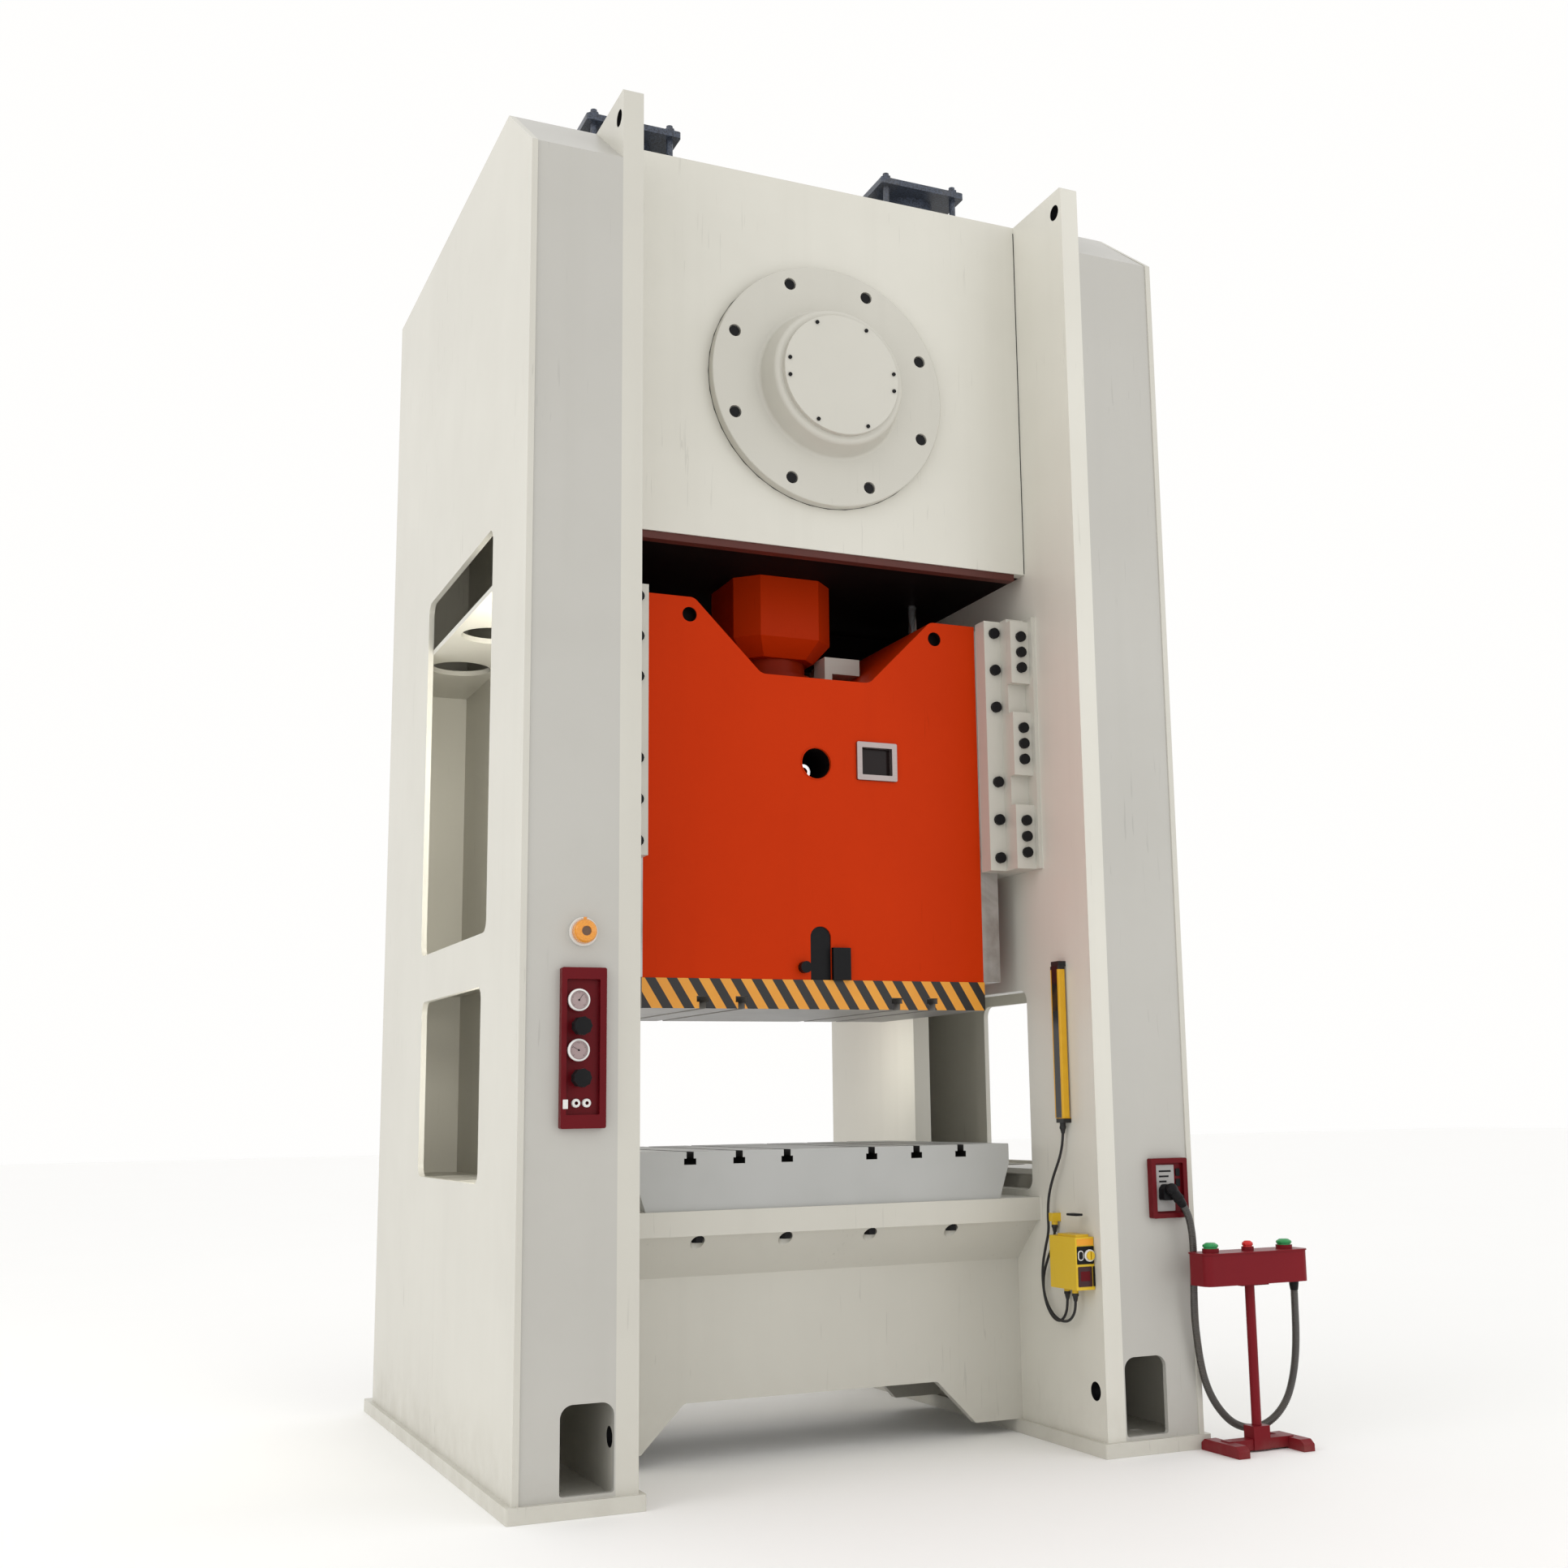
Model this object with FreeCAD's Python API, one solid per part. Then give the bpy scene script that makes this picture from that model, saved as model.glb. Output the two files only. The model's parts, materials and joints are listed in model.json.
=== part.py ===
import FreeCAD, Part
import math
import os

# A straight-side mechanical stamping press. X runs to the right, Y to the back, Z up;
# the floor is Z = 0 and X = 0 is the middle between the columns. Millimetres.

# --- driving dimensions -------------------------------------------------------------
inner_half = 1034.0        # middle to a column's inner face
outer_half = 1518.0        # middle to a column's outer face
front_y = -1402.0          # front of the columns
rear_y = 1402.0            # back of the columns
axis_y = -245.0            # front-to-back middle of slide, bolster and plunger
top_z = 5770.0             # top of the crown
shoulder_z = 5450.0        # where the columns' front meets the sloped shoulder
crest_y = -1000.0          # where the sloped shoulder meets the top
base_top = 60.0            # thickness of the base plates
crank_z = 4760.0           # height of the crank axis
throw = 125.0              # eccentricity of the crank, half the stroke

outer_plate = 25.0
inner_plate = 90.0
skin = 25.0                # front, rear and top plates of a column
edge_lip = 6.0             # how far an outer plate stands before the front plate
run = 0.3                  # gap between faces that slide
bearing_gap = 0.05         # radial clearance of a shaft in its bore
column_middle = (inner_half + outer_half) / 2
cell = (inner_half + inner_plate, outer_half - outer_plate)   # a column's hollow, along X

window_front, window_back = -845.0, 465.0
upper_window = (2210.0, 3940.0)
lower_window = (1190.0, 1990.0)
lower_window_span = (-775.0, 415.0)
inner_window_span = (-840.0, 350.0)
inner_window = (1085.0, 2000.0)
window_radius = 55.0
foot_window = (0.016, 0.585)    # edges of the foot window as shares of the hollow's width
foot_window_z = (75.0, 400.0)
lug_y, lug_z, lug_radius = -1340.0, 5664.0, 37.5
hand_hole_y, hand_hole_z, hand_hole_radius = -1319.0, 260.0, 40.0
diaphragm_levels = (640.0, 1150.0, 2080.0, 3690.0, 4700.0)
diaphragm_rim = 34.5       # metal left beside a diaphragm's holes
base_overhang = 25.0
anchor_x, anchor_y, anchor_radius = column_middle + 32.0, 1200.0, 30.0

crown_front = -950.0
crown_plate = 60.0
crown_back = 480.0
crown_floor = 3980.0
crown_sheet = 50.0
collar_height = 200.0
collar_wall = 40.0

bed_front = -900.0
bed_top = 1056.0
bed_sheet = 102.0
bed_wall_front = -683.0
bed_bolt_x = (200.0, 600.0)
bed_bolt_inset = 52.0      # front edge of the bed plate to the middle of a bolt
bed_bolt_radius, bed_bolt_height = 27.0, 30.0
bed_wall = 50.0
apron_foot = 771.0
arch_half, arch_z = 600.0, 253.0
bolster_half, bolster_top, bolster_front = inner_half - 144.0, 1300.0, -880.0
bolster_step_z, bolster_foot_half = bolster_top - 87.0, bolster_half - 51.0
bolster_slots = (201.0, 422.0, 643.0)
slot_mouth, slot_base, slot_base_height, slot_depth = 32.0, 54.0, 26.0, 54.0

slide_half, slide_front = inner_half - 204.0, -800.0
slide_foot, slide_floor, slide_top = 1905.0, 2035.0, 3740.0
notch_half, notch_z = 270.0, 3417.0
slide_slots = (378.0, 558.0)
guide_out = slide_half + 90.0    # outer face of the slide's guide bars
guide_depth = 140.0
guide_bottom, guide_top = slide_floor + 2.0, slide_top - 20.0

port_x, port_z, port_radius = -5.0, slide_floor + 985.0, 71.0
face_window_x, face_window_z = (195.0, 400.0), (slide_floor + 920.0, slide_floor + 1100.0)
ejector_slot_x, ejector_slot_top = (-45.0, 55.0), slide_floor + 240.0
ejector_block_x, ejector_block_top = (57.0, 143.0), slide_floor + 145.0
ejector_knob_x, ejector_knob_z = -80.0, slide_floor + 55.0

gib_bottom, gib_top = 2550.0, 3750.0
gib_bar_in, gib_bar_front = slide_half + 6.0, -890.0
gib_base_front, gib_base_back = -955.0, -600.0
gib_flange_front, gib_flange_back = -1030.0, -560.0
gib_flange = 20.0
gib_block_heights = (2700.0, 3140.0, 3580.0)
gib_block_tall, gib_block_front = 300.0, -1000.0
gib_bar_screw_x, gib_block_screw_x = guide_out - 34.0, guide_out + 48.0
gib_screw_margin, gib_screw_pitch = 60.0, 75.0

plunger_half, plunger_corner = 250.0, 100.0
plunger_bottom, plunger_top = notch_z + 183.0, 4250.0
plunger_bevel = 85.0
plunger_wall = 28.0
plunger_floor = plunger_bottom + 140.0
nut_radius, nut_step = 200.0, 110.0

flange_radius, flange_thick = 577.0, 50.0
journal_front, journal_rear = 150.0, 130.0
eccentric_radius = 290.0
gear_module, gear_teeth, pinion_teeth = 12.0, 100, 19
gear_front, gear_back = 60.0, 220.0
pinion_radius = gear_module * pinion_teeth / 2
gear_radius = gear_module * gear_teeth / 2
pinion_z = crank_z + gear_radius + pinion_radius
shaft_radius = 70.0

rod_length = 935.0
rod_front, rod_back = -390.0, -100.0
rod_ring = 360.0

wheel_radius, wheel_front, wheel_back = 600.0, 600.0, 800.0
pulley_radius, pulley_z = 125.0, 4250.0
belt_pitch, belt_count, belt_width, belt_thick = 38.0, 5, 17.0, 12.0
groove_depth = 16.0

balancer_x = slide_half - 50.0
balancer_rod = 22.0
balancer_bore, balancer_tube = 120.0, 150.0
balancer_plate_z = top_z + 380.0
balancer_half = 237.0

stand_x, stand_y = outer_half + 162.0, -1565.0
stand_half, stand_depth = 270.0, 150.0
stand_bottom, stand_top = 695.0, 832.0
stand_track = 168.0        # middle of the stand to the middle of a foot bar
foot_bar = (-1700.0, -1432.0)
foot_bar_half, foot_bar_top = 28.0, 48.0
button_reach = 195.0

socket_x, socket_z = (column_middle + 12.0, column_middle + 197.0), (975.0, 1231.0)
air_x, air_z = (-column_middle - 83.0, -column_middle + 96.0), (1410.0, 2023.0)
gauge_x, gauge_z = -column_middle - 17.0, (1897.0, 1706.0)
regulator_x, regulator_z = -column_middle - 12.0, (1797.0, 1600.0)
beacon_x, beacon_z = -column_middle + 7.0, 2163.0
curtain_y, curtain_z = (-1205.0, -1130.0), (1412.0, 2085.0)
controller_y, controller_z = (-1350.0, -1127.0), (684.0, 905.0)

conduit_d = 30.0
lead_d = 12.0


# --- helpers ------------------------------------------------------------------------
def point(x, y, z):
    return FreeCAD.Vector(x, y, z)


def block(x, y, z):
    """A box between the two values given for each axis."""
    return Part.makeBox(x[1] - x[0], y[1] - y[0], z[1] - z[0], point(x[0], y[0], z[0]))


def rod(radius, start, end):
    """A round bar between two points."""
    along = end.sub(start)
    return Part.makeCylinder(radius, along.Length, start, along)


def bar_y(radius, x, z, y):
    """A round bar along Y between the two values of y."""
    return rod(radius, point(x, y[0], z), point(x, y[1], z))


def bar_z(radius, x, y, z):
    """A round bar along Z between the two values of z."""
    return rod(radius, point(x, y, z[0]), point(x, y, z[1]))


def profile(corners, place):
    """A flat face. Its corners are (u, v) or (u, v, radius), and place(u, v) sets it in space."""
    edges = []
    ends = []
    count = len(corners)
    for i in range(count):
        here = corners[i]
        corner = point(here[0], here[1], 0)
        radius = here[2] if len(here) > 2 else 0.0
        if radius == 0.0:
            ends.append((corner, None, corner))
            continue
        before = corners[i - 1]
        after = corners[(i + 1) % count]
        back = point(before[0], before[1], 0).sub(corner).normalize()
        ahead = point(after[0], after[1], 0).sub(corner).normalize()
        half = back.getAngle(ahead) / 2
        cut = radius / math.tan(half)
        inward = back.add(ahead).normalize()
        centre = corner.add(inward.multiply(radius / math.sin(half)))
        toward = corner.sub(centre).normalize()
        middle = centre.add(toward.multiply(radius))
        start = corner.add(point(back.x * cut, back.y * cut, 0))
        finish = corner.add(point(ahead.x * cut, ahead.y * cut, 0))
        ends.append((start, middle, finish))
    for i in range(count):
        start, middle, finish = ends[i]
        following = ends[(i + 1) % count][0]
        if middle is not None:
            arc = Part.Arc(place(start.x, start.y), place(middle.x, middle.y), place(finish.x, finish.y))
            edges.append(arc.toShape())
        if finish.sub(following).Length > 1e-6:
            edges.append(Part.makeLine(place(finish.x, finish.y), place(following.x, following.y)))
    return Part.Face(Part.Wire(edges))


def across(corners, x):
    """A YZ profile pushed along X between the two values of x."""
    return profile(corners, lambda u, v: point(x[0], u, v)).extrude(point(x[1] - x[0], 0, 0))


def along(corners, y):
    """An XZ profile pushed along Y between the two values of y."""
    return profile(corners, lambda u, v: point(u, y[0], v)).extrude(point(0, y[1] - y[0], 0))


def upward(corners, z):
    """An XY profile pushed along Z between the two values of z."""
    return profile(corners, lambda u, v: point(u, v, z[0])).extrude(point(0, 0, z[1] - z[0]))


def rounded(u, v, radius):
    """The corners of a rectangle with round corners."""
    return [(u[0], v[0], radius), (u[1], v[0], radius), (u[1], v[1], radius), (u[0], v[1], radius)]


def shrunk(span, inset):
    """The same span with both ends drawn in."""
    return (span[0] + inset, span[1] - inset)


def turned(outline, x, z):
    """A solid turned about the Y axis through x and z, from (radius, y) corners."""
    face = profile(outline, lambda u, v: point(x + u, v, z))
    return face.revolve(point(x, 0, z), point(0, 1, 0), 360)


def flip_x(shape):
    return shape.mirror(point(0, 0, 0), point(1, 0, 0))


def flip_y(shape):
    """The same piece on the other side of the working axis."""
    return shape.mirror(point(0, axis_y, 0), point(0, 1, 0))


def mirror_y(y):
    return 2 * axis_y - y


def fuse(first, *others):
    return first.multiFuse(list(others)).removeSplitter()


def ring_places(count, radius, first=0.0):
    """The u, v offsets of count places on a circle."""
    step = 2 * math.pi / count
    return [(radius * math.cos(first + step * i), radius * math.sin(first + step * i)) for i in range(count)]


def cap_screw(radius, height, x, y, z, facing):
    """A screw head with 12 sides that stands on a face towards -Y (facing -1) or +Y."""
    corners = [(x + u, z + v) for u, v in ring_places(12, radius)]
    return along(corners, (y, y + facing * height))


# --- columns ------------------------------------------------------------------------
def column_outline(front):
    """Side view of a column with its sloped shoulder."""
    return [(front, base_top), (rear_y, base_top), (rear_y, top_z), (crest_y, top_z), (front, shoulder_z)]


def outer_column_plate():
    plate = across(column_outline(front_y - edge_lip), (outer_half - outer_plate, outer_half))
    through = (outer_half - outer_plate - 1, outer_half + 1)
    upper = across(rounded((window_front, window_back), upper_window, window_radius), through)
    lower = across(rounded(lower_window_span, lower_window, window_radius), through)
    return plate.cut(upper).cut(lower)


def inner_column_plate():
    side = (inner_half, inner_half + inner_plate)
    outline = [(front_y, base_top), (rear_y, base_top), (rear_y, top_z), (front_y, top_z, 12)]
    plate = across(outline, side)
    through = (side[0] - 1, side[1] + 1)
    window = across(rounded(inner_window_span, inner_window, window_radius), through)
    lug = rod(lug_radius, point(through[0], lug_y, lug_z), point(through[1], lug_y, lug_z))
    hand = rod(hand_hole_radius, point(through[0], hand_hole_y, hand_hole_z),
               point(through[1], hand_hole_y, hand_hole_z))
    return plate.cut(window).cut(lug).cut(hand)


def front_column_plate():
    """Front skin, sloped shoulder and top of a column, folded from one width."""
    rise = (top_z - shoulder_z) / (crest_y - front_y)
    drop = skin * math.sqrt(1 + rise * rise)
    outline = [(front_y, base_top), (front_y + skin, base_top),
               (front_y + skin, shoulder_z + rise * skin - drop),
               (crest_y + (drop - skin) / rise, top_z - skin),
               (rear_y, top_z - skin), (rear_y, top_z), (crest_y, top_z), (front_y, shoulder_z)]
    plate = across(outline, cell)
    left, right = [cell[0] + share * (cell[1] - cell[0]) for share in foot_window]
    low, high = foot_window_z
    corners = [(left, low, 12), (right, low, 12), (right, high, 50), (left, high, 50)]
    return plate.cut(along(corners, (front_y - 1, front_y + skin + 1)))


def rear_column_plate():
    """Rear skin with the level diaphragms that stiffen the column."""
    body = block(cell, (rear_y - skin, rear_y), (base_top, top_z - skin))
    middle = (cell[0] + cell[1]) / 2
    hole = (cell[1] - cell[0]) / 2 - diaphragm_rim
    for level in diaphragm_levels:
        shelf = block(cell, (front_y + skin, rear_y - skin), (level, level + skin))
        for y in (-700.0, 0.0, 700.0):
            shelf = shelf.cut(bar_z(hole, middle, y, (level - 1, level + skin + 1)))
        body = fuse(body, shelf)
    return body


def base_plate():
    x = (inner_half - base_overhang, outer_half + base_overhang)
    plate = upward(rounded(x, (front_y - base_overhang, rear_y + 4 * base_overhang), 10), (0, base_top))
    for y in (-anchor_y, anchor_y):
        plate = plate.cut(bar_z(anchor_radius, anchor_x, y, (-1, base_top + 1)))
    return plate


# --- crown --------------------------------------------------------------------------
def crown_front_plate():
    back = crown_front + crown_plate
    plate = block((-inner_half, inner_half), (crown_front, back), (crown_floor, top_z))
    boss = bar_y(1.9 * shaft_radius, 0, pinion_z, (back, back + crown_plate))
    plate = fuse(plate, boss)
    plate = plate.cut(bar_y(400, 0, crank_z, (crown_front - 1, back + 1)))
    bore = bar_y(shaft_radius + bearing_gap, 0, pinion_z, (crown_front + 15, back + crown_plate + 1))
    return plate.cut(bore)


def crown_rear_plate():
    """Rear wall of the crown with both shaft bosses and the motor's shelf."""
    front = crown_back - crown_plate
    plate = block((-inner_half, inner_half), (front, crown_back), (crown_floor, top_z))
    crank_boss = bar_y(1.7 * journal_rear, 0, crank_z, (front, crown_back + crown_plate))
    pinion_boss = bar_y(1.9 * shaft_radius, 0, pinion_z, (front, crown_back + crown_plate))
    shelf = block((-430, 430), (crown_back, 1340), (crown_floor, crown_floor + 40))
    rib = [(crown_back, crown_floor), (1300, crown_floor), (crown_back, gib_top + 10)]
    left_rib = across(rib, (-400, -370))
    right_rib = across(rib, (370, 400))
    lower = block((-inner_half, inner_half), (front, crown_back), (gib_top + 10, crown_floor))
    body = fuse(plate, lower, crank_boss, pinion_boss, shelf, left_rib, right_rib)
    body = body.cut(bar_y(journal_rear + bearing_gap, 0, crank_z, (front - 1, crown_back + crown_plate + 1)))
    return body.cut(bar_y(shaft_radius + bearing_gap, 0, pinion_z, (front - 1, crown_back + crown_plate + 1)))


def crown_top_plate():
    y = (crown_front + crown_plate, crown_back - crown_plate)
    plate = block((-inner_half, inner_half), y, (top_z - crown_sheet, top_z))
    for x in (-balancer_x, balancer_x):
        plate = plate.cut(bar_z(balancer_rod + 8, x, axis_y, (top_z - crown_sheet - 1, top_z + 1)))
    return plate


def octagon(half, corner, y):
    """A square of the given half width with cut corners, centred on X = 0 and y."""
    near = half - corner
    return [(-near, y - half), (near, y - half), (half, y - near), (half, y + near),
            (near, y + half), (-near, y + half), (-half, y + near), (-half, y - near)]


def crown_bottom_plate():
    """Floor of the crown with the collar that guides the plunger."""
    y = (crown_front + crown_plate, crown_back - crown_plate)
    plate = block((-inner_half, inner_half), y, (crown_floor, crown_floor + crown_sheet))
    rim = crown_floor + crown_sheet + collar_height
    collar = upward(octagon(plunger_half + collar_wall, plunger_corner + 20, axis_y), (crown_floor, rim))
    plate = fuse(plate, collar)
    plate = plate.cut(upward(octagon(plunger_half + run, plunger_corner, axis_y), (crown_floor - 1, rim + 1)))
    for x in (-balancer_x, balancer_x):
        plate = plate.cut(bar_z(balancer_rod + 8, x, axis_y, (crown_floor - 1, crown_floor + crown_sheet + 1)))
    return plate


# --- bed and bolster ----------------------------------------------------------------
def bed_top_plate():
    y = (bed_front, mirror_y(bed_front))
    return block((-inner_half, inner_half), y, (bed_top - bed_sheet, bed_top))


def bed_front_wall():
    """Sloped apron under the bed plate and the front wall with its arch."""
    under = bed_top - bed_sheet
    outline = [(bed_front + 20, under), (bed_wall_front, apron_foot), (bed_wall_front, base_top),
               (bed_wall_front + bed_wall, base_top),
               (bed_wall_front + bed_wall, apron_foot + 25),
               (bed_front + 75, under)]
    wall = across(outline, (-inner_half, inner_half))
    spread = arch_z - base_top
    arch = [(-arch_half - spread, base_top - 1), (arch_half + spread, base_top - 1),
            (arch_half, arch_z, 30), (-arch_half, arch_z, 30)]
    wall = wall.cut(along(arch, (bed_front, bed_wall_front + bed_wall + 1)))
    recess = bed_bolt_radius + 4
    for x in bed_bolt_x:
        for side in (-1, 1):
            wall = wall.cut(bar_z(recess, side * x, bed_front + bed_bolt_inset, (under - 60, under + 1)))
    return wall


def bed_bolts():
    heads = []
    under = bed_top - bed_sheet
    for x in bed_bolt_x:
        for side in (-1, 1):
            hexagon = ring_places(6, bed_bolt_radius)
            corners = [(side * x + u, bed_front + bed_bolt_inset + v) for u, v in hexagon]
            heads.append(upward(corners, (under - bed_bolt_height, under)))
    front = Part.makeCompound(heads)
    return Part.makeCompound([front, flip_y(front)])


def t_slot(x, top, deep, y):
    """The empty space of one T-slot that opens upward (deep > 0) or downward (deep < 0)."""
    side = 1 if deep > 0 else -1
    floor = top - deep
    ledge = floor + side * slot_base_height
    mouth = slot_mouth / 2
    foot = slot_base / 2
    corners = [(x - foot, floor), (x + foot, floor), (x + foot, ledge), (x + mouth, ledge),
               (x + mouth, top + side), (x - mouth, top + side), (x - mouth, ledge), (x - foot, ledge)]
    return along(corners, (y[0] - 1, y[1] + 1))


def bolster():
    y = (bolster_front, mirror_y(bolster_front))
    corners = [(-bolster_foot_half, bed_top), (bolster_foot_half, bed_top),
               (bolster_half, bolster_step_z, 15),
               (bolster_half, bolster_top, 6), (-bolster_half, bolster_top, 6),
               (-bolster_half, bolster_step_z, 15)]
    plate = along(corners, y)
    for x in bolster_slots:
        plate = plate.cut(t_slot(x, bolster_top, slot_depth, y))
        plate = plate.cut(t_slot(-x, bolster_top, slot_depth, y))
    return plate


# --- gibs ---------------------------------------------------------------------------
def front_right_gib():
    """Adjustable guide: flange on the column, base, front bar and three adjusting blocks."""
    z = (gib_bottom, gib_top)
    flange = block((inner_half - gib_flange, inner_half), (gib_flange_front, gib_flange_back), z)
    base_x = (guide_out + run, inner_half - gib_flange)
    base = block(base_x, (gib_base_front, gib_base_back), z)
    bar = block((gib_bar_in, base_x[0] + 20), (gib_bar_front, slide_front - run), z)
    body = fuse(flange, base, bar)
    for middle in gib_block_heights:
        height = (middle - gib_block_tall / 2, middle + gib_block_tall / 2)
        clamp = (base_x[0] - 4, inner_half - gib_flange)
        body = fuse(body, block(clamp, (gib_block_front, gib_base_front), height))
    return body


def gib_screws():
    """Six screws in each front bar and three in each adjusting block, on all four gibs."""
    heads = []
    rise = (gib_top - gib_bottom - 2 * gib_screw_margin) / 6
    for x_side in (-1, 1):
        for step in (0, 1, 2, 4, 5, 6):
            z = gib_bottom + gib_screw_margin + rise * step
            heads.append(cap_screw(26, 18, x_side * gib_bar_screw_x, gib_bar_front, z, -1))
        for middle in gib_block_heights:
            for step in (-1, 0, 1):
                z = middle + step * gib_screw_pitch
                heads.append(cap_screw(25, 18, x_side * gib_block_screw_x, gib_block_front, z, -1))
    front = Part.makeCompound(heads)
    return Part.makeCompound([front, flip_y(front)])


# --- crank bearing ------------------------------------------------------------------
def bearing_flange():
    """Round flange with its domed boss, eight bolt recesses and the crank's front bore."""
    front = crown_front - flange_thick
    bore = journal_front + bearing_gap
    outline = [(bore, crown_front + crown_plate), (398, crown_front + crown_plate), (398, crown_front),
               (flange_radius, crown_front), (flange_radius, front, 6), (350, front, 20),
               (318, front - 117, 24), (240, front - 117), (240, front - 105), (bore, front - 105)]
    body = turned(outline, 0, crank_z)
    for u, v in ring_places(8, 506, math.radians(22.5)):
        body = body.cut(bar_y(29, u, crank_z + v, (front - 1, front + 25)))
    return body


def bearing_cover():
    front = crown_front - flange_thick - 117
    outline = [(0, front + 12), (239, front + 12), (239, front), (284, front), (284, front - 26, 4),
               (0, front - 26)]
    return turned(outline, 0, crank_z)


def bearing_bolts():
    heads = []
    front = crown_front - flange_thick
    for u, v in ring_places(8, 506, math.radians(22.5)):
        heads.append(cap_screw(24, 18, u, front + 25, crank_z + v, -1))
    for angle in (62, 118, 242, 298, -9, 9, 171, 189):
        u = 262 * math.cos(math.radians(angle))
        v = 262 * math.sin(math.radians(angle))
        heads.append(cap_screw(9, 6, u, front - 143, crank_z + v, -1))
    return Part.makeCompound(heads)


# --- crank train --------------------------------------------------------------------
def gear_corners(teeth, x, z, turn):
    """Corners of a gear's outline; turn is the angle of a tooth's middle."""
    pitch = gear_module * teeth / 2
    root = pitch - 1.15 * gear_module
    tip = pitch + 0.85 * gear_module
    step = 2 * math.pi / teeth
    corners = []
    for i in range(teeth):
        middle = turn + step * i
        for radius, share in ((root, -0.34), (tip, -0.13), (tip, 0.13), (root, 0.34)):
            angle = middle + share * step
            corners.append((x + radius * math.cos(angle), z + radius * math.sin(angle)))
    return corners


def eccentric_gear():
    """Crank with its front and rear journals, the eccentric and the main gear."""
    front = bar_y(journal_front, 0, crank_z, (crown_front - flange_thick - 95, rod_front - 30))
    web = bar_y(journal_front + 120, 0, crank_z, (rod_front - 30, rod_front - 2))
    eccentric = bar_y(eccentric_radius, 0, crank_z + throw, (rod_front - 2, rod_back + 2))
    neck = bar_y(journal_front + 60, 0, crank_z, (rod_back + 2, gear_front))
    rim = along(gear_corners(gear_teeth, 0, crank_z, math.pi / 2), (gear_front, gear_back))
    for side in ((gear_front - 1, gear_front + 45), (gear_back - 45, gear_back + 1)):
        hollow = bar_y(520, 0, crank_z, side).cut(bar_y(230, 0, crank_z, side))
        rim = rim.cut(hollow)
    for u, v in ring_places(6, 375):
        rim = rim.cut(bar_y(85, u, crank_z + v, (gear_front, gear_back)))
    rear = bar_y(journal_rear, 0, crank_z, (gear_back, crown_back + crown_plate - 5))
    return fuse(front, web, eccentric, neck, rim, rear)


def connecting_rod():
    """Big end round the eccentric, tapered shank and small end with its wrist pin."""
    big_z = crank_z + throw
    small_z = big_z - rod_length
    y = (rod_front, rod_back)
    ring = bar_y(rod_ring, 0, big_z, y)
    neck_z = plunger_top + 25
    outline = [(-86, small_z), (86, small_z), (86, neck_z), (190, big_z - 250), (-190, big_z - 250),
               (-86, neck_z)]
    shank = along(outline, (rod_front + 45, rod_back - 45))
    small = bar_y(90, 0, small_z, (rod_front + 20, rod_back - 20))
    pin = bar_y(45, 0, small_z, (rod_front - 40, rod_back + 40))
    body = fuse(ring, shank, small, pin)
    return body.cut(bar_y(eccentric_radius + bearing_gap, 0, big_z, (y[0] - 1, y[1] + 1)))


def plunger():
    """Guided plunger with cut corners, a bevelled foot and a hollow for the rod."""
    shoulder = plunger_bottom + plunger_bevel
    body = upward(octagon(plunger_half, plunger_corner, axis_y), (shoulder, plunger_top))
    foot = Part.makeLoft([
        profile(octagon(plunger_half - 70, plunger_corner - 28, axis_y),
                lambda u, v: point(u, v, plunger_bottom)).OuterWire,
        profile(octagon(plunger_half, plunger_corner, axis_y),
                lambda u, v: point(u, v, shoulder)).OuterWire], True, True)
    hollow = octagon(plunger_half - plunger_wall, plunger_corner - 12, axis_y)
    return fuse(body, foot).cut(upward(hollow, (plunger_floor, plunger_top + 1)))


def adjusting_nut():
    """Worm-wheel housing of the die height adjustment between plunger and slide."""
    low = bar_z(nut_radius, 0, axis_y, (notch_z, notch_z + nut_step))
    high = bar_z(nut_radius - 35, 0, axis_y, (notch_z + nut_step, plunger_bottom))
    return fuse(low, high)


# --- slide --------------------------------------------------------------------------
def slide_body():
    """Slide with its valley for the plunger, and the openings in its face."""
    y = (slide_front, mirror_y(slide_front))
    rise = slide_top - notch_z
    corners = [(-slide_half, slide_floor), (slide_half, slide_floor), (slide_half, slide_top),
               (notch_half + rise, slide_top, 45), (notch_half, notch_z, 55),
               (-notch_half, notch_z, 55), (-notch_half - rise, slide_top, 45), (-slide_half, slide_top)]
    body = along(corners, y)
    ahead = slide_front - 1
    body = body.cut(bar_y(port_radius, port_x, port_z, (ahead, slide_front + 230)))
    tip, root = slide_front + 120, slide_front + 231
    nozzle = turned([(20, tip), (38, tip, 6), (38, root), (20, root)], port_x - 15, port_z - 20)
    body = fuse(body, nozzle)
    for x in (-615.0, 615.0):
        body = body.cut(bar_y(34, x, slide_top - 80, (ahead, slide_front + 40)))
    left, right = ejector_slot_x
    curve = (right - left) / 2 - 1
    slot = [(left, slide_floor - 1), (right, slide_floor - 1), (right, ejector_slot_top, curve),
            (left, ejector_slot_top, curve)]
    body = body.cut(along(slot, (ahead, slide_front + 150)))
    return body.cut(along(rounded(face_window_x, face_window_z, 8), (ahead, slide_front + 45)))


def slide_base():
    """Thick foot plate of the slide with its T-slots."""
    y = (slide_front - 3, mirror_y(slide_front - 3))
    plate = block((-slide_half - 3, slide_half + 3), y, (slide_foot, slide_floor))
    for x in slide_slots:
        plate = plate.cut(t_slot(x, slide_foot, -slot_depth, y))
        plate = plate.cut(t_slot(-x, slide_foot, -slot_depth, y))
    return plate


def slide_guides():
    bar = block((slide_half, guide_out), (slide_front, slide_front + guide_depth), (guide_bottom, guide_top))
    pair = [bar, flip_x(bar)]
    return Part.makeCompound(pair + [flip_y(one) for one in pair])


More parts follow.
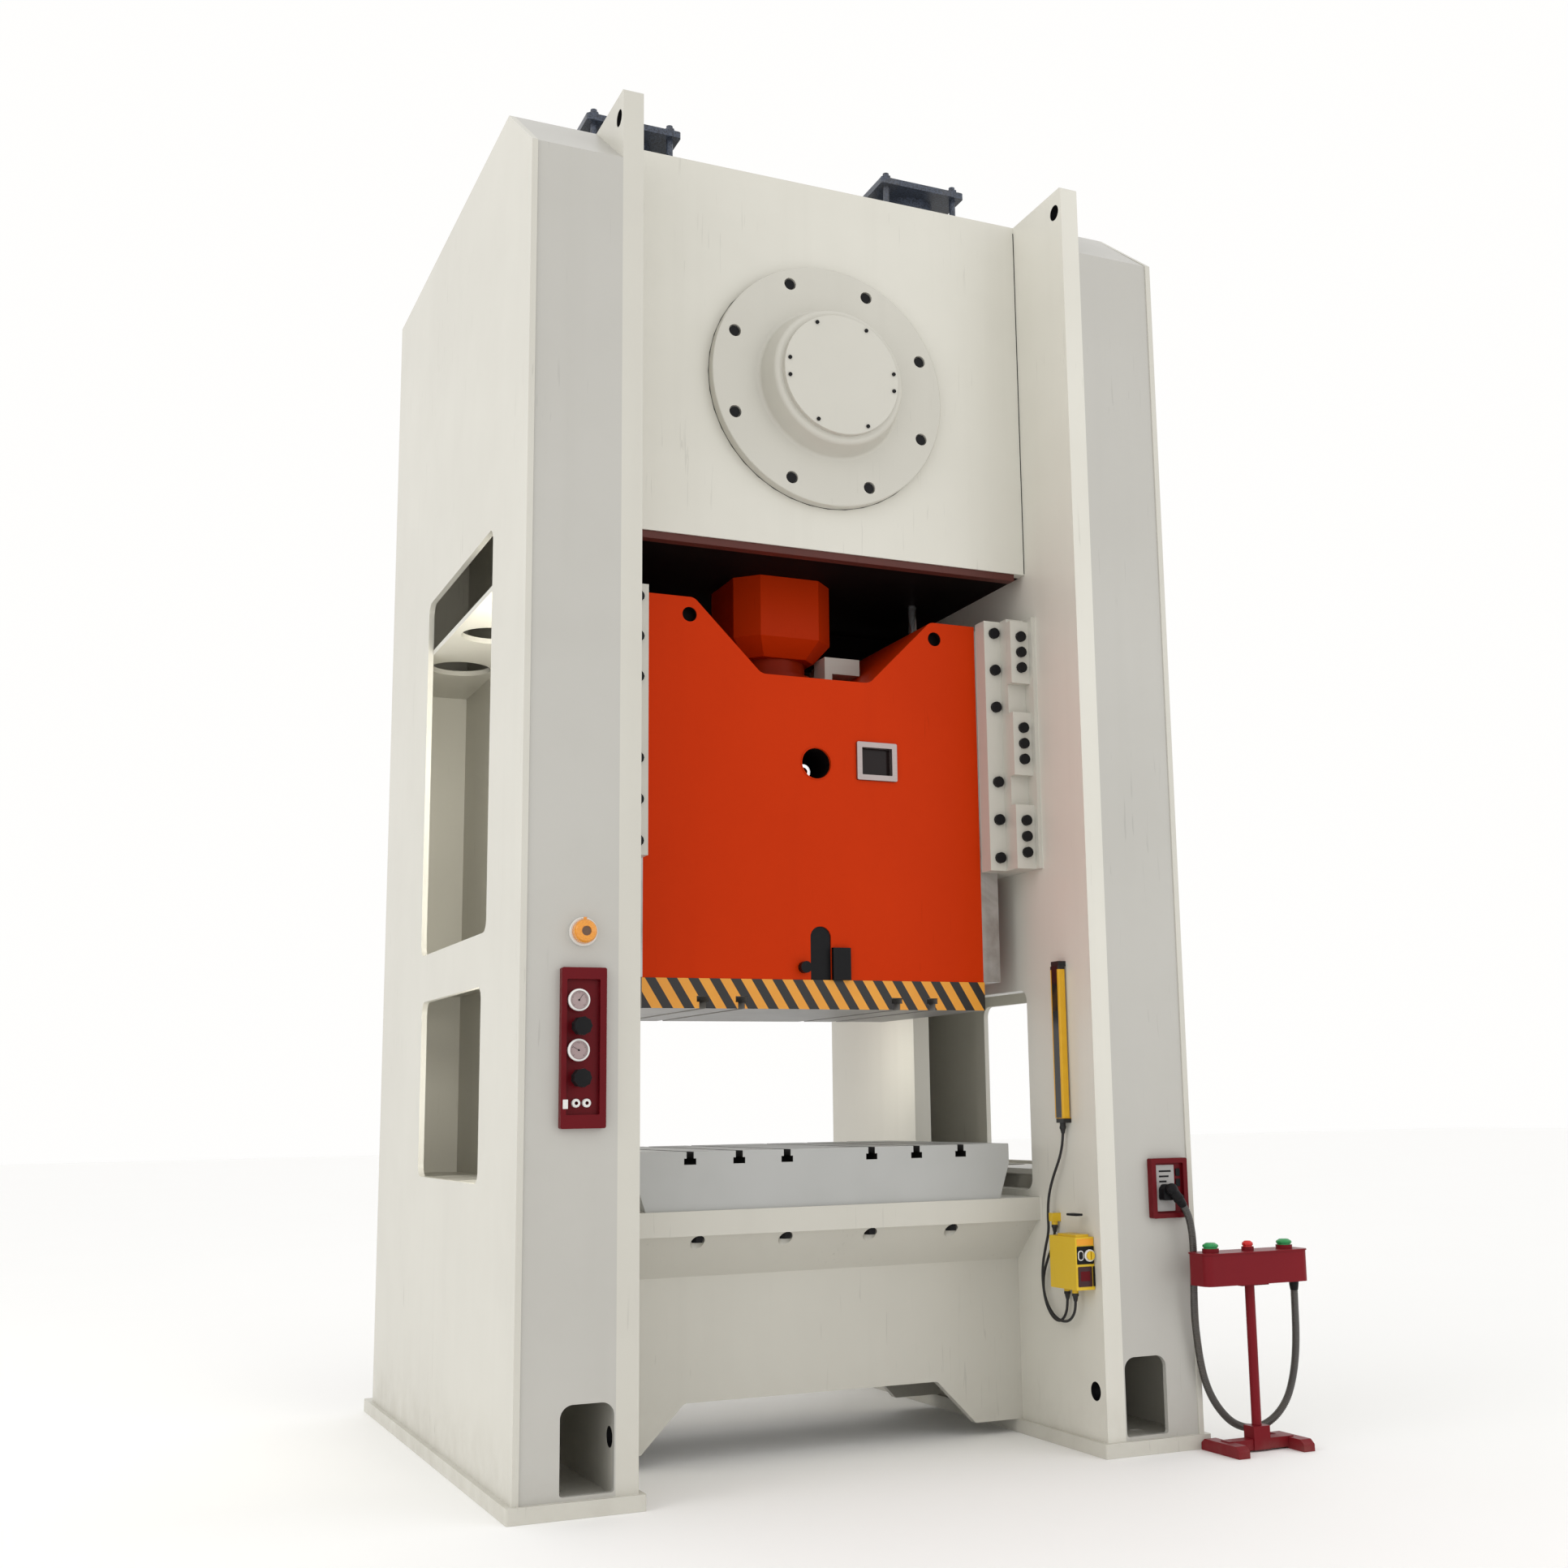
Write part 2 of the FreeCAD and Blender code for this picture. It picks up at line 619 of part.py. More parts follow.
def slide_window():
    """Frame of the window in the slide's face, the ejector block and its knob."""
    edge = rounded(shrunk(face_window_x, 1), shrunk(face_window_z, 1), 7)
    inside = rounded(shrunk(face_window_x, 26), shrunk(face_window_z, 26), 3)
    frame = along(edge, (slide_front - 12, slide_front + 44))
    frame = frame.cut(along(inside, (slide_front - 13, slide_front + 20)))
    stop = block(ejector_block_x, (slide_front - 22, slide_front), (slide_floor, ejector_block_top))
    knob = bar_y(26, ejector_knob_x, ejector_knob_z, (slide_front - 35, slide_front))
    return Part.makeCompound([frame, stop, knob])


def adjuster_drive():
    """Gearbox and motor that turn the adjusting nut."""
    y = (axis_y - 190, axis_y - 60)
    side = nut_radius + 5
    foot = block((side, notch_half - 26), y, (notch_z, notch_z + 125))
    gearbox = block((side, side + 185), y, (notch_z + 125, notch_z + 205))
    outline = [(0, y[1]), (60, y[1]), (60, y[1] + 190), (52, y[1] + 230, 12), (0, y[1] + 230)]
    case = turned(outline, side + 120, notch_z + 180)
    return fuse(foot, gearbox, case)


# --- balancers ----------------------------------------------------------------------
def balancer():
    """Air cylinder with its head plate, dome, tie studs and nuts."""
    x, y = balancer_x, axis_y
    tube = bar_z(balancer_tube, x, y, (top_z, balancer_plate_z))
    tube = tube.cut(bar_z(balancer_bore, x, y, (top_z - 1, balancer_plate_z - 25)))
    flat = balancer_tube + 40
    foot = upward(rounded((x - flat, x + flat), (y - flat, y + flat), 20), (top_z, top_z + 30))
    foot = foot.cut(bar_z(balancer_rod + 8, x, y, (top_z - 1, top_z + 31)))
    half = balancer_half
    plate = upward(rounded((x - half, x + half), (y - half, y + half), 14),
                   (balancer_plate_z, balancer_plate_z + 32))
    dome = Part.makeSphere(260, point(x, y, balancer_plate_z - 190))
    above = block((x - 270, x + 270), (y - 270, y + 270), (balancer_plate_z + 32, balancer_plate_z + 120))
    body = fuse(tube, foot, plate, dome.common(above))
    for side in (-1, 1):
        for end in (-1, 1):
            stud_x = x + side * (balancer_half - 45)
            stud_y = y + end * (balancer_half - 45)
            stud = bar_z(16, stud_x, stud_y, (top_z + 5, balancer_plate_z + 74))
            nut = upward([(stud_x + u, stud_y + v) for u, v in ring_places(6, 28)],
                         (balancer_plate_z + 32, balancer_plate_z + 56))
            body = fuse(body, stud, nut)
    return body


def balancer_rods():
    """Rods that hang the slide from the balancers' pistons, with their feet."""
    pieces = []
    piston_z = balancer_plate_z - 94
    for x in (-balancer_x, balancer_x):
        shaft = bar_z(balancer_rod, x, axis_y, (slide_top, piston_z))
        piston = bar_z(balancer_bore - 1, x, axis_y, (piston_z, piston_z + 60))
        foot = block((x - 48, x + 48), (axis_y - 60, axis_y + 60), (slide_top, slide_top + 70))
        pieces.append(fuse(shaft, piston, foot))
    return Part.makeCompound(pieces)


# --- drive --------------------------------------------------------------------------
def pinion_shaft():
    shaft = bar_y(shaft_radius, 0, pinion_z, (crown_front + 17, 985))
    turn = -math.pi / 2 + math.pi / pinion_teeth
    pinion = along(gear_corners(pinion_teeth, 0, pinion_z, turn), (gear_front - 10, gear_back + 10))
    outline = [(60, 815), (340, 815, 15), (340, 900, 25), (230, 930, 10), (160, 985), (60, 985)]
    clutch = turned(outline, 0, pinion_z)
    return fuse(shaft, pinion, clutch)


def groove_outline(radius, front, back, inner):
    """Half section of a belt wheel, from its inner radius to its grooved rim."""
    middle = (front + back) / 2
    corners = [(inner, front), (radius, front)]
    for i in range(belt_count):
        y = middle + (i - (belt_count - 1) / 2) * belt_pitch
        mouth = belt_width / 2 + 2
        floor = belt_width / 2 + 0.5
        corners += [(radius, y - mouth), (radius - groove_depth, y - floor),
                    (radius - groove_depth, y + floor), (radius, y + mouth)]
    corners += [(radius, back), (inner, back)]
    return corners


def flywheel():
    rim = turned(groove_outline(wheel_radius, wheel_front, wheel_back, 480), 0, pinion_z)
    web = bar_y(490, 0, pinion_z, (675, 725))
    for u, v in ring_places(6, 310):
        web = web.cut(bar_y(95, u, pinion_z + v, (674, 726)))
    hub = bar_y(150, 0, pinion_z, (590, 810))
    wheel = fuse(rim, web, hub)
    return wheel.cut(bar_y(shaft_radius + bearing_gap, 0, pinion_z, (589, 811)))


def motor():
    """Drive motor on its feet with cooling ribs and terminal box."""
    ribs = []
    for i in range(28):
        angle = 2 * math.pi * i / 28
        for radius, share in ((150, -0.22), (172, -0.22), (172, 0.22), (150, 0.22)):
            turn = angle + share * 2 * math.pi / 28
            ribs.append((radius * math.cos(turn), pulley_z + radius * math.sin(turn)))
    body = along(ribs, (880, 1180))
    bells = turned([(0, 835), (110, 835), (176, 865), (176, 880), (0, 880)], 0, pulley_z)
    fan = turned([(0, 1180), (178, 1180), (178, 1290, 25), (0, 1290)], 0, pulley_z)
    feet = block((-170, 170), (900, 1160), (crown_floor + 40, crown_floor + 66))
    stem = block((-120, 120), (920, 1140), (crown_floor + 60, pulley_z - 100))
    box = block((120, 235), (950, 1110), (pulley_z - 60, pulley_z + 60))
    body = fuse(body, bells, fan, feet, stem, box)
    return body.cut(bar_y(30 + bearing_gap, 0, pulley_z, (834, 960)))


def motor_pulley():
    rim = turned(groove_outline(pulley_radius, wheel_front, wheel_back, 20), 0, pulley_z)
    shaft = bar_y(30, 0, pulley_z, (wheel_front, 950))
    return fuse(rim, shaft)


def belt_loop(y, wheel, pulley):
    """A closed band round both wheels, from the face between its two outlines."""
    distance = pinion_z - pulley_z
    lean = math.asin((wheel - pulley) / distance)

    def place(radius, centre_z, angle):
        return point(radius * math.cos(angle), y, centre_z + radius * math.sin(angle))

    def outline(grow):
        big, small = wheel + grow, pulley + grow
        top_right = place(big, pinion_z, -lean)
        top = place(big, pinion_z, math.pi / 2)
        top_left = place(big, pinion_z, math.pi + lean)
        low_left = place(small, pulley_z, math.pi + lean)
        low = place(small, pulley_z, -math.pi / 2)
        low_right = place(small, pulley_z, -lean)
        return Part.Wire([Part.Arc(top_right, top, top_left).toShape(), Part.makeLine(top_left, low_left),
                          Part.Arc(low_left, low, low_right).toShape(), Part.makeLine(low_right, top_right)])

    face = Part.Face(outline(belt_thick)).cut(Part.Face(outline(0)))
    return face.extrude(point(0, belt_width, 0))


def belts():
    loops = []
    middle = (wheel_front + wheel_back) / 2
    for i in range(belt_count):
        y = middle + (i - (belt_count - 1) / 2) * belt_pitch - belt_width / 2
        loops.append(belt_loop(y, wheel_radius - groove_depth + run, pulley_radius - groove_depth + run))
    return Part.makeCompound(loops)


def rear_cover():
    """Sheet guard behind the drive with vent slots, and the hood over the flywheel."""
    sheet = 6.0
    hood_radius = wheel_radius + 60
    level = top_z - 25
    half = math.sqrt(hood_radius ** 2 - (level - pinion_z) ** 2)
    inner_arc = hood_radius - sheet
    inner_half_arc = math.sqrt(inner_arc ** 2 - (level - sheet - pinion_z) ** 2)

    def place(u, v, y):
        return point(u, y, v)

    def hood_face(y):
        crest = place(0, pinion_z + hood_radius, y)
        edges = [Part.makeLine(place(-inner_half, level, y), place(-half, level, y)),
                 Part.Arc(place(-half, level, y), crest, place(half, level, y)).toShape(),
                 Part.makeLine(place(half, level, y), place(inner_half, level, y)),
                 Part.makeLine(place(inner_half, level, y), place(inner_half, level - sheet, y)),
                 Part.makeLine(place(inner_half, level - sheet, y), place(inner_half_arc, level - sheet, y)),
                 Part.Arc(place(inner_half_arc, level - sheet, y), place(0, pinion_z + inner_arc, y),
                          place(-inner_half_arc, level - sheet, y)).toShape(),
                 Part.makeLine(place(-inner_half_arc, level - sheet, y), place(-inner_half, level - sheet, y)),
                 Part.makeLine(place(-inner_half, level - sheet, y), place(-inner_half, level, y))]
        return Part.Face(Part.Wire(edges))

    back = 1384.0
    hood = hood_face(crown_back).extrude(point(0, back - crown_back, 0))
    wall = block((-inner_half, inner_half), (back - sheet, back), (2300, level))
    arch = bar_y(hood_radius, 0, pinion_z, (back - sheet, back))
    above = (level, pinion_z + hood_radius)
    arch = arch.common(block((-hood_radius, hood_radius), (back - sheet, back), above))
    cover = fuse(hood, wall, arch)
    for column in (-620, 0, 620):
        for row in range(6):
            z = 4500 + 70 * row
            slot = along(rounded((column - 150, column + 150), (z, z + 22), 10.9), (back - sheet - 1, back + 1))
            cover = cover.cut(slot)
    return cover


# --- control stand ------------------------------------------------------------------
def stand_foot():
    """H-shaped foot, socket and post of the two-hand stand."""
    pieces = []
    near, far = foot_bar
    high = foot_bar_top
    for x in (stand_x - stand_track, stand_x + stand_track):
        corners = [(near, 0), (far, 0), (far, high - 18, 8), (far - 25, high, 12), (near + 25, high, 12),
                   (near, high - 18, 8)]
        pieces.append(across(corners, (x - foot_bar_half, x + foot_bar_half)))
    cross = block((stand_x - stand_track, stand_x + stand_track), (stand_y - 30, stand_y + 30), (8, 52))
    socket = block((stand_x - 42, stand_x + 42), (stand_y - 36, stand_y + 36), (8, 104))
    post = bar_z(21, stand_x, stand_y, (60, stand_bottom))
    plate = block((stand_x - 70, stand_x + 70), (stand_y - 45, stand_y + 45), (stand_bottom - 8, stand_bottom))
    return fuse(cross, socket, post, plate, *pieces)


def stand_box():
    """Console with round corners and a collar for each push button."""
    x = (stand_x - stand_half, stand_x + stand_half)
    y = (stand_y - stand_depth / 2, stand_y + stand_depth / 2)
    body = upward(rounded(x, y, 35), (stand_bottom, stand_top - 6))
    lid = upward(rounded((x[0] - 4, x[1] + 4), (y[0] - 4, y[1] + 4), 38), (stand_top - 6, stand_top))
    body = fuse(body, lid)
    for place, radius in ((stand_x - button_reach, 36), (stand_x + button_reach, 36), (stand_x, 27)):
        body = fuse(body, bar_z(radius, place, stand_y, (stand_top, stand_top + 16)))
        body = body.cut(bar_z(radius - 6, place, stand_y, (stand_top - 22, stand_top + 17)))
    return body


def push_button(x, radius, head):
    """Mushroom button whose stem runs in the console's collar."""
    base = stand_top - 14
    stem = bar_z(radius - 6 - run, x, stand_y, (base, stand_top + 24))
    low = stand_top + 22
    outline = [(0, low), (head, low, 3), (head, low + 10, 6), (head * 0.55, low + 19, 8), (0, low + 20)]
    face = profile(outline, lambda u, v: point(x + u, stand_y, v))
    return fuse(stem, face.revolve(point(x, stand_y, 0), point(0, 0, 1), 360))


# --- panels, gauges and curtains -----------------------------------------------------
def socket_panel():
    """Raised socket frame on the right column's front."""
    body = along(rounded(socket_x, socket_z, 8), (front_y - 35, front_y))
    recess = rounded((socket_x[0] + 22, socket_x[1] - 21), shrunk(socket_z, 21), 4)
    return body.cut(along(recess, (front_y - 36, front_y - 18)))


def plug():
    """Angled plug in the socket frame with the conduit's gland."""
    left, low = socket_x[0] + 41, socket_z[0] + 77
    outline = [(left, low, 8), (left + 74, low, 8), (left + 74, low + 50, 16), (left + 59, low + 68, 14),
               (left + 15, low + 68, 18), (left, low + 48, 16)]
    base = along(outline, (front_y - 62, front_y - 18))
    mouth, following = conduit_route()[0:2]
    heading = following.sub(mouth).normalize()
    start = mouth.sub(heading.multiply(50))
    elbow = rod(22, start, mouth)
    dome = Part.makeSphere(26, start)
    keep = block((left - 29, left + 131), (front_y - 120, front_y - 20), (low - 22, low + 88))
    return fuse(base, dome.common(keep), elbow)


def air_panel():
    """Raised frame on the left column's front for the air gauges and regulators."""
    body = along(rounded(air_x, air_z, 8), (front_y - 32, front_y))
    recess = rounded((air_x[0] + 21, air_x[1] - 26), (air_z[0] + 52, air_z[1] - 45), 4)
    body = body.cut(along(recess, (front_y - 33, front_y - 10)))
    for z in regulator_z:
        body = fuse(body, bar_y(22, regulator_x, z, (front_y - 40, front_y - 10)))
        body = body.cut(bar_y(12, regulator_x, z, (front_y - 41, front_y - 20)))
    fitting = [(6, front_y - 10), (15, front_y - 10), (15, front_y - 26, 3), (6, front_y - 26)]
    for x in (regulator_x - 10, regulator_x + 32):
        body = fuse(body, turned(fitting, x, air_z[0] + 96))
    return body


def gauges():
    """Two dial gauges with wide front rings."""
    outline = [(0, front_y - 10), (38, front_y - 10), (38, front_y - 34), (43, front_y - 36, 2),
               (43, front_y - 46, 4), (36, front_y - 48), (36, front_y - 40), (0, front_y - 40)]
    return Part.makeCompound([turned(outline, gauge_x, z) for z in gauge_z])


def regulator_knob(z):
    """Ribbed cap of an air regulator; its stem turns in the panel's boss."""
    corners = []
    for i in range(18):
        angle = 2 * math.pi * i / 18
        radius = 36 if i % 2 == 0 else 33
        corners.append((regulator_x + radius * math.cos(angle), z + radius * math.sin(angle)))
    cap = along(corners, (front_y - 86, front_y - 40 - run))
    stem = bar_y(12 - bearing_gap, regulator_x, z, (front_y - 41, front_y - 22))
    return fuse(cap, stem)


def beacon():
    """Round warning lamp: base ring, lens and centre cap."""
    ring = turned([(0, front_y), (57, front_y), (57, front_y - 14, 5), (0, front_y - 14)], beacon_x, beacon_z)
    outline = [(0, front_y - 14), (46, front_y - 14), (46, front_y - 40), (40, front_y - 52, 6),
               (19, front_y - 54), (19, front_y - 48), (0, front_y - 48)]
    nub = bar_z(7, beacon_x, front_y - 30, (beacon_z + 37, beacon_z + 55))
    return fuse(ring, turned(outline, beacon_x, beacon_z), nub)


def right_curtain():
    """Light curtain bar on the column's inner face, with its end brackets."""
    x = (inner_half - 44, inner_half - 8)
    low, high = curtain_z
    body = upward(rounded(x, curtain_y, 7), curtain_z)
    foot = block((x[0] + 4, inner_half), shrunk(curtain_y, 6), (low - 22, low))
    head = block((x[0] + 4, inner_half), shrunk(curtain_y, 6), (high, high + 22))
    gland = bar_z(13, curtain_exit.x, curtain_exit.y, (curtain_exit.z, low - 22))
    return fuse(body, foot, head, gland)


def controller_box():
    """Curtain controller with its key switch, top cap and two cable glands."""
    x = (inner_half - 94, inner_half)
    front, back = controller_y
    low, high = controller_z
    body = upward(rounded(x, controller_y, 7), controller_z)
    cap = block((x[0] + 15, x[1] - 15), (front + 20, back - 53), (high, high + 10))
    key_x, key_z = x[0] + 66, low + 144
    key = bar_y(19, key_x, key_z, (front - 18, front))
    slot = block((key_x - 3, key_x + 3), (front - 20, front - 12), (key_z - 16, key_z + 16))
    body = fuse(body, cap, key).cut(slot)
    for place in (box_gland_front, box_gland_back):
        body = fuse(body, bar_z(14, place.x, place.y, (place.z, low)))
    y = (wall_gland.y - 18, wall_gland.y + 18)
    outlet = block((inner_half - 42, inner_half), y, (wall_gland.z + 18, wall_gland.z + 54))
    outlet = fuse(outlet, bar_z(14, wall_gland.x, wall_gland.y, (wall_gland.z, wall_gland.z + 20)))
    return Part.makeCompound([body, outlet])


# --- cords --------------------------------------------------------------------------
curtain_exit = point(inner_half - 26, -1167, 1372)
box_gland_front = point(inner_half - 46, -1256, 660)
box_gland_back = point(inner_half - 22, -1150, 660)
wall_gland = point(inner_half - 22, -1062, 940)


def conduit_route():
    """From the plug down the column's edge, in a low bow behind the stand, up to its box."""
    return [point(1392, -1476, 1061), point(1434, -1474, 1010), point(1456, -1472, 940),
            point(1464, -1470, 850), point(1463, -1466, 745), point(1463, -1458, 640),
            point(1467, -1450, 550), point(1477, -1446, 462), point(1490, -1442, 372),
            point(1512, -1438, 285), point(1547, -1436, 208), point(1596, -1435, 143),
            point(1652, -1435, 94), point(1728, -1437, 66), point(1808, -1440, 72), point(1878, -1447, 110),
            point(1928, -1460, 175), point(1950, -1476, 256), point(1952, -1502, 350), point(1940, -1532, 455),
            point(1924, -1556, 570), point(1922, -1560, stand_bottom)]


def curtain_lead_route():
    """From the curtain's lower end, in an S and a wide loop, up into the controller."""
    x = inner_half - 46
    return [curtain_exit, point(inner_half - 26, -1166, 1322), point(inner_half - 30, -1142, 1240),
            point(inner_half - 36, -1084, 1152), point(inner_half - 40, -1046, 1066),
            point(inner_half - 42, -1038, 986), point(inner_half - 44, -1046, 915),
            point(x, -1014, 840), point(x, -984, 762), point(x, -980, 680),
            point(x, -1006, 606), point(x, -1062, 556), point(x, -1130, 534), point(x, -1196, 540),
            point(x, -1242, 574), point(x, -1256, 618), box_gland_front]


def box_lead_route():
    """From the gland in the column's wall, in the inner loop, up into the controller."""
    x = inner_half - 22
    return [wall_gland, point(x, -1060, 904), point(x, -1036, 848), point(x, -990, 790), point(x, -950, 720),
            point(x, -944, 650), point(x, -970, 584), point(x, -1022, 536), point(x, -1084, 526),
            point(x, -1132, 560), point(x, -1150, 612), box_gland_back]


def tube(route, diameter, name):
    """Solid cord along straight runs joined by tangent arcs."""
    runs = [route[i + 1].sub(route[i]) for i in range(len(route) - 1)]
    edges = []
    radii = []
    start = route[0]
    for i in range(1, len(route) - 1):
        before, after = runs[i - 1], runs[i]
        turn = before.getAngle(after)
        cut = 0.45 * min(before.Length, after.Length)
        radius = cut / math.tan(turn / 2)
        radii.append(radius)
        entry = route[i].sub(point(*before).normalize().multiply(cut))
        leave = route[i].add(point(*after).normalize().multiply(cut))
        toward = entry.add(leave).multiply(0.5).sub(route[i]).normalize()
        depth = radius / math.cos(turn / 2) - radius
        middle = route[i].add(toward.multiply(depth))
        edges.append(Part.LineSegment(start, entry).toShape())
        edges.append(Part.Arc(entry, middle, leave).toShape())
        start = leave
    edges.append(Part.LineSegment(start, route[-1]).toShape())
    wire = Part.Wire(edges)
    ring = Part.Wire(Part.makeCircle(diameter / 2, route[0], runs[0]))
    solid = wire.makePipeShell([ring], True, False)
    expected = math.pi * diameter ** 2 / 4 * wire.Length
    print(name, "length", round(wire.Length), "radii", [round(r) for r in radii],
          "volume ratio", round(solid.Volume / expected, 4))
    return solid


# --- all pieces ---------------------------------------------------------------------
def build():
    pieces = {}

    def both_sides(name, shape):
        pieces[name + "_right"] = shape
        pieces[name + "_left"] = flip_x(shape)

    both_sides("column_outer_plate", outer_column_plate())
    both_sides("column_inner_plate", inner_column_plate())
    both_sides("column_front_plate", front_column_plate())
    rear = rear_column_plate()
    pieces["column_rear_plates"] = Part.makeCompound([rear, flip_x(rear)])
    base = base_plate()
    pieces["base_plates"] = Part.makeCompound([base, flip_x(base)])
    pieces["crown_front_plate"] = crown_front_plate()
    pieces["crown_rear_plate"] = crown_rear_plate()
    pieces["crown_top_plate"] = crown_top_plate()
    pieces["crown_bottom_plate"] = crown_bottom_plate()
    pieces["bed_top_plate"] = bed_top_plate()
    pieces["bed_front_wall"] = bed_front_wall()
    pieces["bed_rear_wall"] = flip_y(pieces["bed_front_wall"])
    pieces["bed_bolts"] = bed_bolts()
    pieces["bolster"] = bolster()
    gib = front_right_gib()
    both_sides("gib_front", gib)
    both_sides("gib_rear", flip_y(gib))
    pieces["gib_screws"] = gib_screws()
    pieces["bearing_flange"] = bearing_flange()
    pieces["bearing_cover"] = bearing_cover()
    pieces["bearing_bolts"] = bearing_bolts()
    both_sides("balancer", balancer())
    pieces["rear_cover"] = rear_cover()
    pieces["motor"] = motor()
    pieces["belts"] = belts()
    pieces["stand_foot"] = stand_foot()
    pieces["stand_box"] = stand_box()
    pieces["socket_panel"] = socket_panel()
    pieces["plug"] = plug()
    pieces["conduit"] = tube(conduit_route(), conduit_d, "conduit")
    pieces["air_panel"] = air_panel()
    pieces["gauges"] = gauges()
    pieces["beacon"] = beacon()
    curtain = right_curtain()
    pieces["light_curtains"] = Part.makeCompound([curtain, flip_x(curtain)])
    pieces["controller_box"] = controller_box()
    pieces["curtain_lead"] = tube(curtain_lead_route(), lead_d, "curtain_lead")
    pieces["box_lead"] = tube(box_lead_route(), lead_d, "box_lead")
    pieces["eccentric_gear"] = eccentric_gear()
    pieces["connecting_rod"] = connecting_rod()
    pieces["plunger"] = plunger()
    pieces["adjusting_nut"] = adjusting_nut()
    pieces["slide"] = slide_body()
    pieces["slide_base"] = slide_base()
    pieces["slide_guides"] = slide_guides()
    pieces["slide_window"] = slide_window()
    pieces["adjuster_drive"] = adjuster_drive()
    pieces["balancer_rods"] = balancer_rods()
    pieces["pinion_shaft"] = pinion_shaft()
    pieces["flywheel"] = flywheel()
    pieces["motor_pulley"] = motor_pulley()
    pieces["palm_button_left"] = push_button(stand_x - button_reach, 36, 34)
    pieces["palm_button_right"] = push_button(stand_x + button_reach, 36, 34)
    pieces["stop_button"] = push_button(stand_x, 27, 24)
    pieces["regulator_upper"] = regulator_knob(regulator_z[0])
    pieces["regulator_lower"] = regulator_knob(regulator_z[1])
    return pieces


os.makedirs("parts", exist_ok=True)
for name, shape in build().items():
    shape.exportStep("parts/" + name + ".step")
    print(name, len(shape.Solids), "solids", "valid" if shape.isValid() else "NOT VALID")
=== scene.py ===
# %% [markdown]
# # A stamping press, dressed for its portrait
# The press comes from CAD as about sixty plain solids in metres: plates, slide, bolster, gears, leads.
# This lesson gives each of them its finish, and adds the small things that a workshop adds last:
# dials, glands, liners, seams and switch plates. Nothing from the CAD is moved, so every
# new piece is placed straight by its real coordinates: +X to the operator's right, +Y to the back, +Z up.

# %% Load the press
import json
import math

import bmesh
import bpy
from mathutils import Matrix, Vector


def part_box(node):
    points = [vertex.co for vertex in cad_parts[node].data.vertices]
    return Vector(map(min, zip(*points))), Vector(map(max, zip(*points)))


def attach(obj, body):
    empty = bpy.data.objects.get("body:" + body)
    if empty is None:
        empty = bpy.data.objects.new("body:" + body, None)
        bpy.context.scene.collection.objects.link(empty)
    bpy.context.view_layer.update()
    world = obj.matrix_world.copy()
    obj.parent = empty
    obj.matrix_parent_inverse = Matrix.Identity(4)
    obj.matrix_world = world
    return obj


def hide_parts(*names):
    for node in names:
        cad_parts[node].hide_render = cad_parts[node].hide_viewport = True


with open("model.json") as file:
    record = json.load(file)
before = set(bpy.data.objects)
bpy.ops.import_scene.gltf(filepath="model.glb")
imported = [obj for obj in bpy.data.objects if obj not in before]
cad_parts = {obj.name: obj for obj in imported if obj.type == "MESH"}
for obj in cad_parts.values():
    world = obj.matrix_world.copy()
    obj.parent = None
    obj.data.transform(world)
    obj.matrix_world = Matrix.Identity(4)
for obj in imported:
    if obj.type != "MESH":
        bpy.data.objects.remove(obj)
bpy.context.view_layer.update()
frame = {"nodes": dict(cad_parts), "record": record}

nodes = frame["nodes"]
for plain in bpy.data.materials:
    plain.name = "plain_" + plain.name

# %% [markdown]
# ## The camera
# A press of this height is photographed from its left at about eye level, looking up, so its columns
# lean together upwards. The camera could be aimed with a constraint, but a constraint hides the three
# numbers that matter. Here the view is written as yaw, pitch and roll, and the camera's axes are worked
# out from them. The lens comes from the picture's focal length in pixels on a 36 mm sensor, and the
# small shift says that the picture was cut a little off the lens's middle.

# %% Camera
yaw, pitch, roll = (math.radians(a) for a in (24.7642, 9.8456, -0.936))
ahead = Vector((math.sin(yaw) * math.cos(pitch), math.cos(yaw) * math.cos(pitch), math.sin(pitch)))
level = Vector((math.cos(yaw), -math.sin(yaw), 0))
lift = level.cross(ahead)
right = math.cos(roll) * level + math.sin(roll) * lift
over = math.cos(roll) * lift - math.sin(roll) * level
lens = bpy.data.cameras.new("portrait_lens")
lens.sensor_width = 36
picture_width, focal_pixels = 1932, 2235.836
lens.lens = lens.sensor_width * focal_pixels / picture_width
lens.shift_x = -83.896 / picture_width
lens.shift_y = 8.943 / picture_width
lens.clip_end = 200
camera = bpy.data.objects.new("portrait_camera", lens)
bpy.context.scene.collection.objects.link(camera)
turned = Matrix((right, over, -ahead)).transposed().to_4x4()
camera.matrix_world = Matrix.Translation((-3.2621, -8.2436, 1.4777)) @ turned
bpy.context.scene.camera = camera
print("lens:", round(lens.lens, 2), "mm")

# %% [markdown]
# ## Floor and light
# The press stands in a white studio. One large pale floor takes the soft shadow under the base, and a
# white world fills the shade. Two big area lamps do the modelling: a broad one from the left, which makes
# the side plate the brightest, and a weaker one from the front right, so that the inner faces keep
# their tone. Large lamps are used because a small one would draw hard shadows of the lugs on the crown.
#
# A hollow column swallows light, and its windows would show as black holes. So five weak lamps stand
# inside the left column behind its windows' front edge, where the camera can't see them, and one more
# lightens the far column through the die space. They belong to the picture and not to the machine.

# %% Floor and lamps
scene = bpy.context.scene
scene.view_settings.view_transform = "Standard"
world = bpy.data.worlds.new("studio")
world.use_nodes = True
world.node_tree.nodes["Background"].inputs["Color"].default_value = (1.0, 0.995, 0.985, 1)
world.node_tree.nodes["Background"].inputs["Strength"].default_value = 1.0
scene.world = world


